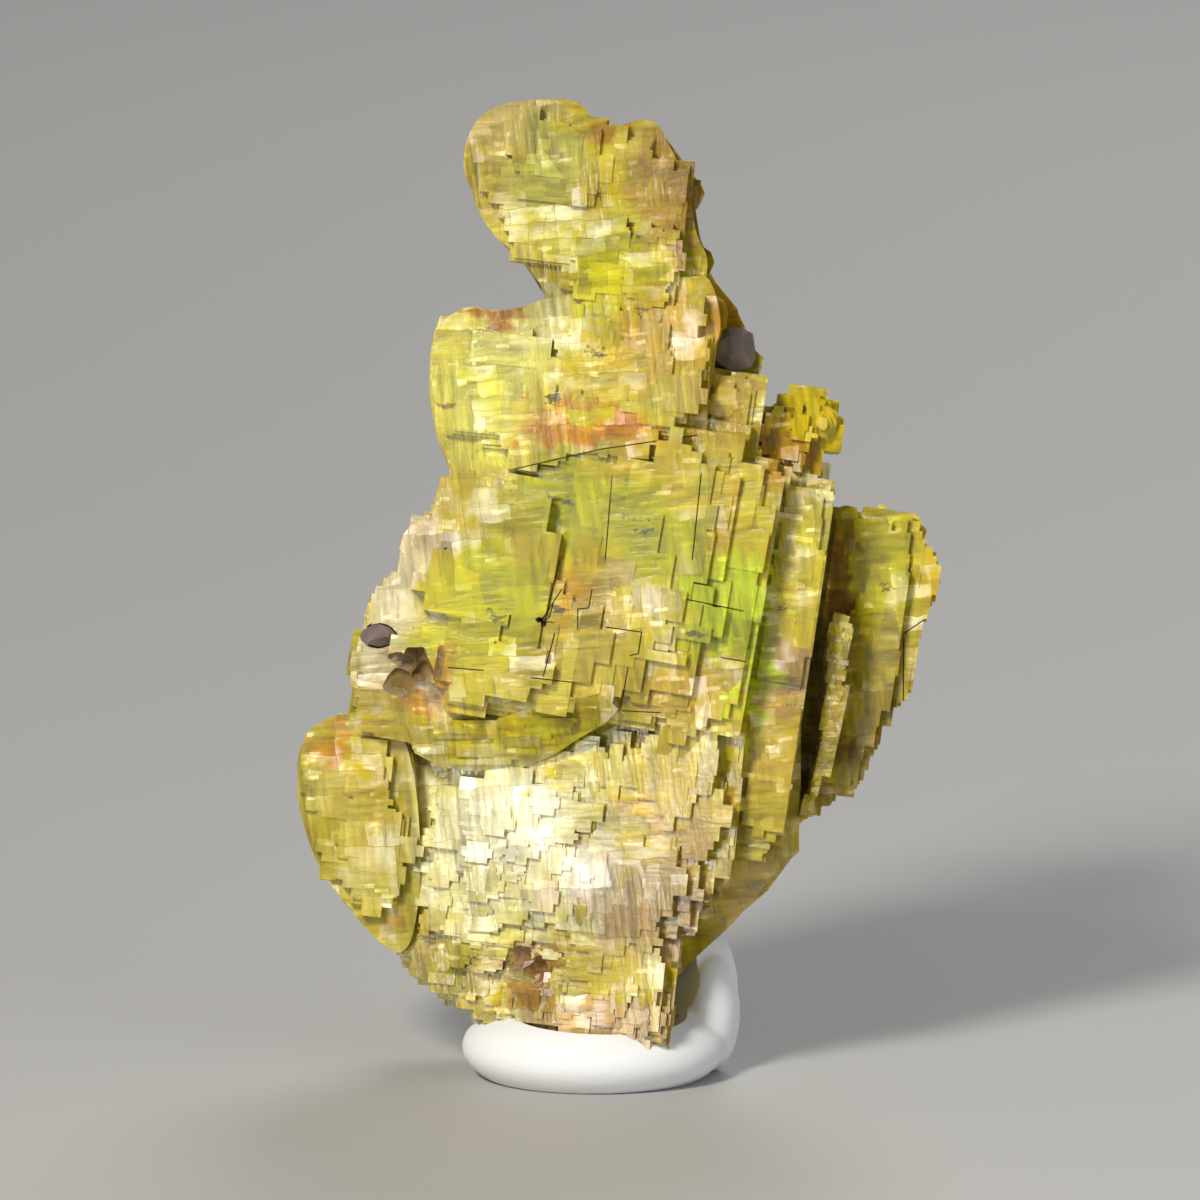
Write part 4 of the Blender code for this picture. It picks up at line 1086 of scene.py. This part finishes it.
def uranocircite_material():
    """Uranocircite, books of perfectly cleaved plates: pearly across a plate, waxy and a little
    see-through at its edge, stained by iron along the cracks."""
    material, add = new_material("uranocircite, cleaved plates")
    where = add("TexCoord", {})
    grid = add("VectorMath", {0: where["Object"], 3: 1 / MM}, operation="SCALE")[0]
    drift = add(
        "TexNoise", {"Vector": grid, "Scale": 1.1, "Detail": 3.0, "Roughness": 0.6}
    )["Color"]
    drift = add("VectorMath", {0: drift, 1: (0.5, 0.5, 0.5)}, operation="SUBTRACT")[0]
    drifts = add("SeparateXYZ", {0: drift})
    wander = add(
        "VectorMath", {0: drift, 1: (2.2, 0.0, 2.2), 2: grid}, operation="MULTIPLY_ADD"
    )[0]
    tone = add("Attribute", {}, attribute_name="tone")["Fac"]
    own = add("Math", {0: tone, 1: 0.9, 2: -0.55}, operation="MULTIPLY_ADD")[0]
    own = add("CombineXYZ", {0: own, 2: own})[0]
    wander = add("VectorMath", {0: wander, 1: own}, operation="ADD")[0]

    # The mineral's own colour in clouds, then the zones, then each plate's own mood.
    cloud = add("TexNoise", {"Vector": grid, "Scale": 0.55, "Detail": 3.0})[0]
    mood = add("Math", {0: tone, 1: 7.3}, operation="MULTIPLY")[0]
    mood = add("Math", {0: mood}, operation="FRACT")[0]
    ramps = []
    for share, stops in ((cloud, CLOUDS), (mood, MOODS)):
        ramp = add("ValToRGB", {"Fac": share})[0]
        elements = ramp.node.color_ramp.elements
        for element, (position, hex_code) in zip(elements, (stops[0], stops[-1])):
            element.position, element.color = position, linear(hex_code)
        for position, hex_code in stops[1:-1]:
            elements.new(position).color = linear(hex_code)
        ramps.append(ramp)
    colour = tint(add, ramps[0], ZONES, wander)
    colour = add("Mix", {0: 0.2, 6: colour, 7: ramps[1]}, data_type="RGBA")[2]

    # Cleavage flakes too thin to model, as courses of bricks: lying, upright, and small chips.
    turned = add("Mapping", {"Vector": grid, "Rotation": (0, -EDGE_LEAN, 0)})[0]
    flat = add("SeparateXYZ", {0: turned})
    flat = add("CombineXYZ", {0: flat[0], 1: flat[2]})[0]
    flat = add(
        "VectorMath", {0: drift, 1: (0.35, 0.35, 0.0), 2: flat}, operation="MULTIPLY_ADD"
    )[0]
    rows, stacks, chips = [
        add(
            "TexBrick",
            {
                "Vector": flat, "Color1": (0.0, 0.0, 0.0, 1.0), "Color2": (1.0, 1.0, 1.0, 1.0),
                "Mortar": (grey, grey, grey, 1.0), "Scale": 1.0, "Mortar Size": joint,
                "Mortar Smooth": soft, "Brick Width": wide, "Row Height": high,
            },
            offset=offset, squash=squash, squash_frequency=every,
        )
        for wide, high, joint, soft, grey, offset, squash, every in BRICKS
    ]
    which = add("TexNoise", {"Vector": grid, "Scale": 0.4, "Detail": 2.0})[0]
    which = add("MapRange", {"Value": which, 1: 0.45, 2: 0.55})[0]
    tiles = add("Mix", {0: which, 6: rows[0], 7: stacks[0]}, data_type="RGBA")[2]
    joints = add("Mix", {0: which, 2: rows[1], 3: stacks[1]}, data_type="FLOAT")[0]

    # Fine ribs, lying or upright, and chips that gather into patches: painted sparkle highlights.
    ribs = []
    for stretch, scale in (((0.8, 0.5, 4.5), 1.3), ((5.0, 0.5, 0.6), 1.2)):
        rib = add("Mapping", {"Vector": turned, "Scale": stretch})[0]
        ribs.append(add("TexNoise", {"Vector": rib, "Scale": scale, "Detail": 2.0})[0])
    lines = add("Mix", {0: which, 2: ribs[0], 3: ribs[1]}, data_type="FLOAT")[0]
    gather = add("MapRange", {"Value": drifts[0], 1: -0.03, 2: 0.11})[0]
    painted_glints = add("MapRange", {"Value": chips[0], 1: 0.8, 2: 1.0})[0]
    painted_glints = add("Math", {0: painted_glints, 1: gather}, operation="MULTIPLY")[0]

    # Painted pearly sheen pales a plate in patches, with the painted sparkle of the chips; the lime
    # lies over it, and each plate is lighter or darker, the painted sparkle lighter still.
    painted_pearl_sheen = add("MapRange", {"Value": tiles, 1: 0.5, 2: 0.9, 3: 0.0, 4: 0.9})[0]
    spread = add("MapRange", {"Value": drifts[1], 1: -0.05, 2: 0.09})[0]
    painted_pearl_sheen = add("Math", {0: painted_pearl_sheen, 1: spread}, operation="MULTIPLY")[0]
    painted_pearl_sheen = add("Math", {0: painted_glints, 1: 0.55, 2: painted_pearl_sheen}, operation="MULTIPLY_ADD")[0]
    colour = add(
        "HueSaturation", {"Saturation": 0.5, "Value": 1.4, "Fac": painted_pearl_sheen, "Color": colour}
    )[0]
    colour = tint(add, colour, LIME_ZONES, wander)
    lighter = add("Math", {0: tone, 1: 0.44, 2: -0.21}, operation="MULTIPLY_ADD")[0]
    for part, weight in ((tiles, 0.46), (lines, 1.3), (painted_glints, 0.5)):
        lighter = add("Math", {0: part, 1: weight, 2: lighter}, operation="MULTIPLY_ADD")[0]
    colour = add(
        "HueSaturation", {"Hue": 0.508, "Saturation": 1.12, "Value": lighter, "Color": colour}
    )[0]

    # Dark mineral specks: a noise that reaches its threshold where they gather.
    specks = add("Mapping", {"Vector": turned, "Scale": (2.2, 1.0, 5.0)})[0]
    specks = add(
        "TexNoise", {"Vector": specks, "Scale": 0.9, "Detail": 4.0, "Roughness": 0.8}
    )[0]
    for across, up, half_a, half_u in SPECKED:
        middle = seen_at(across, SPECKS_BACK, up) + TO_ORIGIN
        away = nearness(add, grid, middle, (half_a, SPECKS_DEEP, half_u))
        near = add("MapRange", {"Value": away, 1: 1.3, 2: 0.3, 3: 0.0, 4: 0.23})[0]
        specks = add("Math", {0: specks, 1: near}, operation="ADD")[0]

    # The edges of plates in lime, partly their colour and partly painted edge highlight; a painted
    # highlight on faces that look up; earth in the hollows, stained joints, specks.
    ways = add("SeparateXYZ", {0: where["Normal"]})
    facing = add("Math", {0: ways[1]}, operation="ABSOLUTE")[0]
    earth = add("MapRange", {"Value": tone, 1: 0.16, 2: 0.1, 3: 0.0, 4: 0.85})[0]
    for share, hex_code in (
        # Side walls of the plates: lime, partly their colour, partly painted edge highlight.
        (add("MapRange", {"Value": facing, 1: 0.75, 2: 0.35, 3: 0.0, 4: 0.42})[0], "#C8C04C"),
        # Painted highlight: near-white cream on faces that look up.
        (add("MapRange", {"Value": ways[2], 1: 0.5, 2: 0.9, 3: 0.0, 4: 0.7})[0], "#F4EFD2"),
        (earth, "#5E3820"),
        (add("Math", {0: joints, 1: 0.3}, operation="MULTIPLY")[0], "#7A5A2A"),
        (add("MapRange", {"Value": specks, 1: 0.70, 2: 0.76, 3: 0.0, 4: 0.8})[0], "#2E3834"),
    ):
        colour = add("Mix", {0: share, 6: colour, 7: linear(hex_code)}, data_type="RGBA")[2]

    grain = add("TexNoise", {"Vector": grid, "Scale": 7.0, "Detail": 2.0})[0]
    relief = add("Math", {0: grain, 1: 0.25, 2: lines}, operation="MULTIPLY_ADD")[0]
    bump = add("Bump", {"Height": relief, "Strength": 0.4, "Distance": 0.00005})[0]
    gloss = add("MapRange", {"Value": grain, 1: 0.3, 2: 0.7, 3: 0.14, 4: 0.32})[0]
    gloss = add("Math", {0: earth, 1: 0.5, 2: gloss}, operation="MULTIPLY_ADD")[0]
    shader = add(
        "BsdfPrincipled",
        {
            "Base Color": colour, "Roughness": gloss, "Normal": bump, "IOR": 1.61,
            "Subsurface Weight": 0.2, "Subsurface Radius": (1.0, 0.85, 0.35),
            "Subsurface Scale": 0.0004, "Coat Weight": 0.15, "Coat Roughness": 0.12,
        },
    )[0]
    add("OutputMaterial", {"Surface": shader})
    return material


def clouded_material(name, scale, detail, hex_codes, relief, skin):
    """A material in soft clouds of two colours, with the same clouds as a faint relief."""
    material, add = new_material(name)
    place = add("TexCoord", {})["Object"]
    cloud = add("TexNoise", {"Vector": place, "Scale": scale, "Detail": detail})[0]
    dark, light = [linear(hex_code) for hex_code in hex_codes]
    colour = add("Mix", {0: cloud, 6: dark, 7: light}, data_type="RGBA")[2]
    bump = add("Bump", {"Height": cloud, "Strength": relief[0], "Distance": relief[1]})[0]
    shader = add("BsdfPrincipled", {"Base Color": colour, "Normal": bump, **skin})[0]
    add("OutputMaterial", {"Surface": shader})
    return material


# Camera, light and floor.

middle = (picture_point(*PICTURE_MIDDLE, 0) + TO_ORIGIN) * MM
lens = bpy.data.cameras.new("camera")
lens.sensor_width = 36
lens.lens = 36 * CAMERA_AWAY / PICTURE_WIDE
lens.clip_start = 0.01
camera = bpy.data.objects.new("camera", lens)
camera.location = middle - SIGHT * CAMERA_AWAY * MM
camera.rotation_mode = "QUATERNION"
camera.rotation_quaternion = SIGHT.to_track_quat("-Z", "Y")
bpy.context.scene.collection.objects.link(camera)
bpy.context.scene.camera = camera

# A plain pale matt board.
board, add_node = new_material("pale board")
matt = add_node("BsdfPrincipled", {"Base Color": linear("#B4B3B1"), "Roughness": 0.6})[0]
add_node("OutputMaterial", {"Surface": matt})
bpy.ops.mesh.primitive_plane_add(size=1.2, location=(0, 0, 0))
floor = bpy.context.object
floor.name = "floor"
floor.data.materials.append(board)

world = bpy.data.worlds.new("soft room")
world.use_nodes = True
world.node_tree.nodes["Background"].inputs[0].default_value = linear("#E4E6E8")
world.node_tree.nodes["Background"].inputs[1].default_value = 0.2
bpy.context.scene.world = world
bpy.context.scene.view_settings.view_transform = "Standard"

# Studio soft boxes: place, size, power and colour.
for name, place, wide, power, hex_code in (
    ("key", (-0.1, -0.19, 0.17), 0.05, 0.66, "#FFFAF0"),
    ("glint", (-0.14, -0.22, 0.03), 0.055, 0.09, "#FFFFFF"),
    ("fill", (0.2, -0.2, 0.08), 0.2, 0.24, "#EEF4FF"),
    ("rim", (0.06, 0.2, 0.16), 0.12, 0.2, "#FFFFFF"),
):
    lamp = bpy.data.lights.new(name, "AREA")
    lamp.size = wide
    lamp.energy = power
    lamp.color = linear(hex_code)[:3]
    light = bpy.data.objects.new(name, lamp)
    light.location = place
    light.rotation_mode = "QUATERNION"
    light.rotation_quaternion = (Vector(LIT) - Vector(place)).to_track_quat("-Z", "Y")
    bpy.context.scene.collection.objects.link(light)

# Pieces.

masters = flake_masters(FLAKE_KINDS)
crystals = make_crystals()
crystals.data.materials.clear()
crystals.data.materials.append(uranocircite_material())
settle(crystals, "crystal_group")

# Smoky quartz, broken: glassy, dark grey-brown, clear only at its thin edges.
quartz = clouded_material(
    "smoky quartz, broken", 1800.0, 4.0, ("#5E4E48", "#A4948E"), (0.3, 0.00005),
    {"Roughness": 0.12, "IOR": 1.544, "Transmission Weight": 0.2},
)
for node, (centre, half) in GRAINS.items():
    grain = broken_lump(node.replace("quartz", "smoky"), centre, half, random.Random(node))
    grain.data.materials.append(quartz)
    settle(grain, node)

# Mounting putty, kneaded by hand: matt white, with the softest of sheens; its colours are mid grey,
# painted shade over the white.
putty = make_putty()
putty.data.materials.append(clouded_material(
    # Painted shade: grey colours for a white putty.
    "mounting putty, kneaded", 700.0, 5.0, ("#767570", "#8E8D88"), (0.25, 0.00008),
    {
        "Roughness": 0.62, "IOR": 1.5, "Subsurface Weight": 0.3,
        "Subsurface Radius": (1.0, 0.95, 0.9), "Subsurface Scale": 0.0005,
    },
))
settle(putty, "putty_blob")
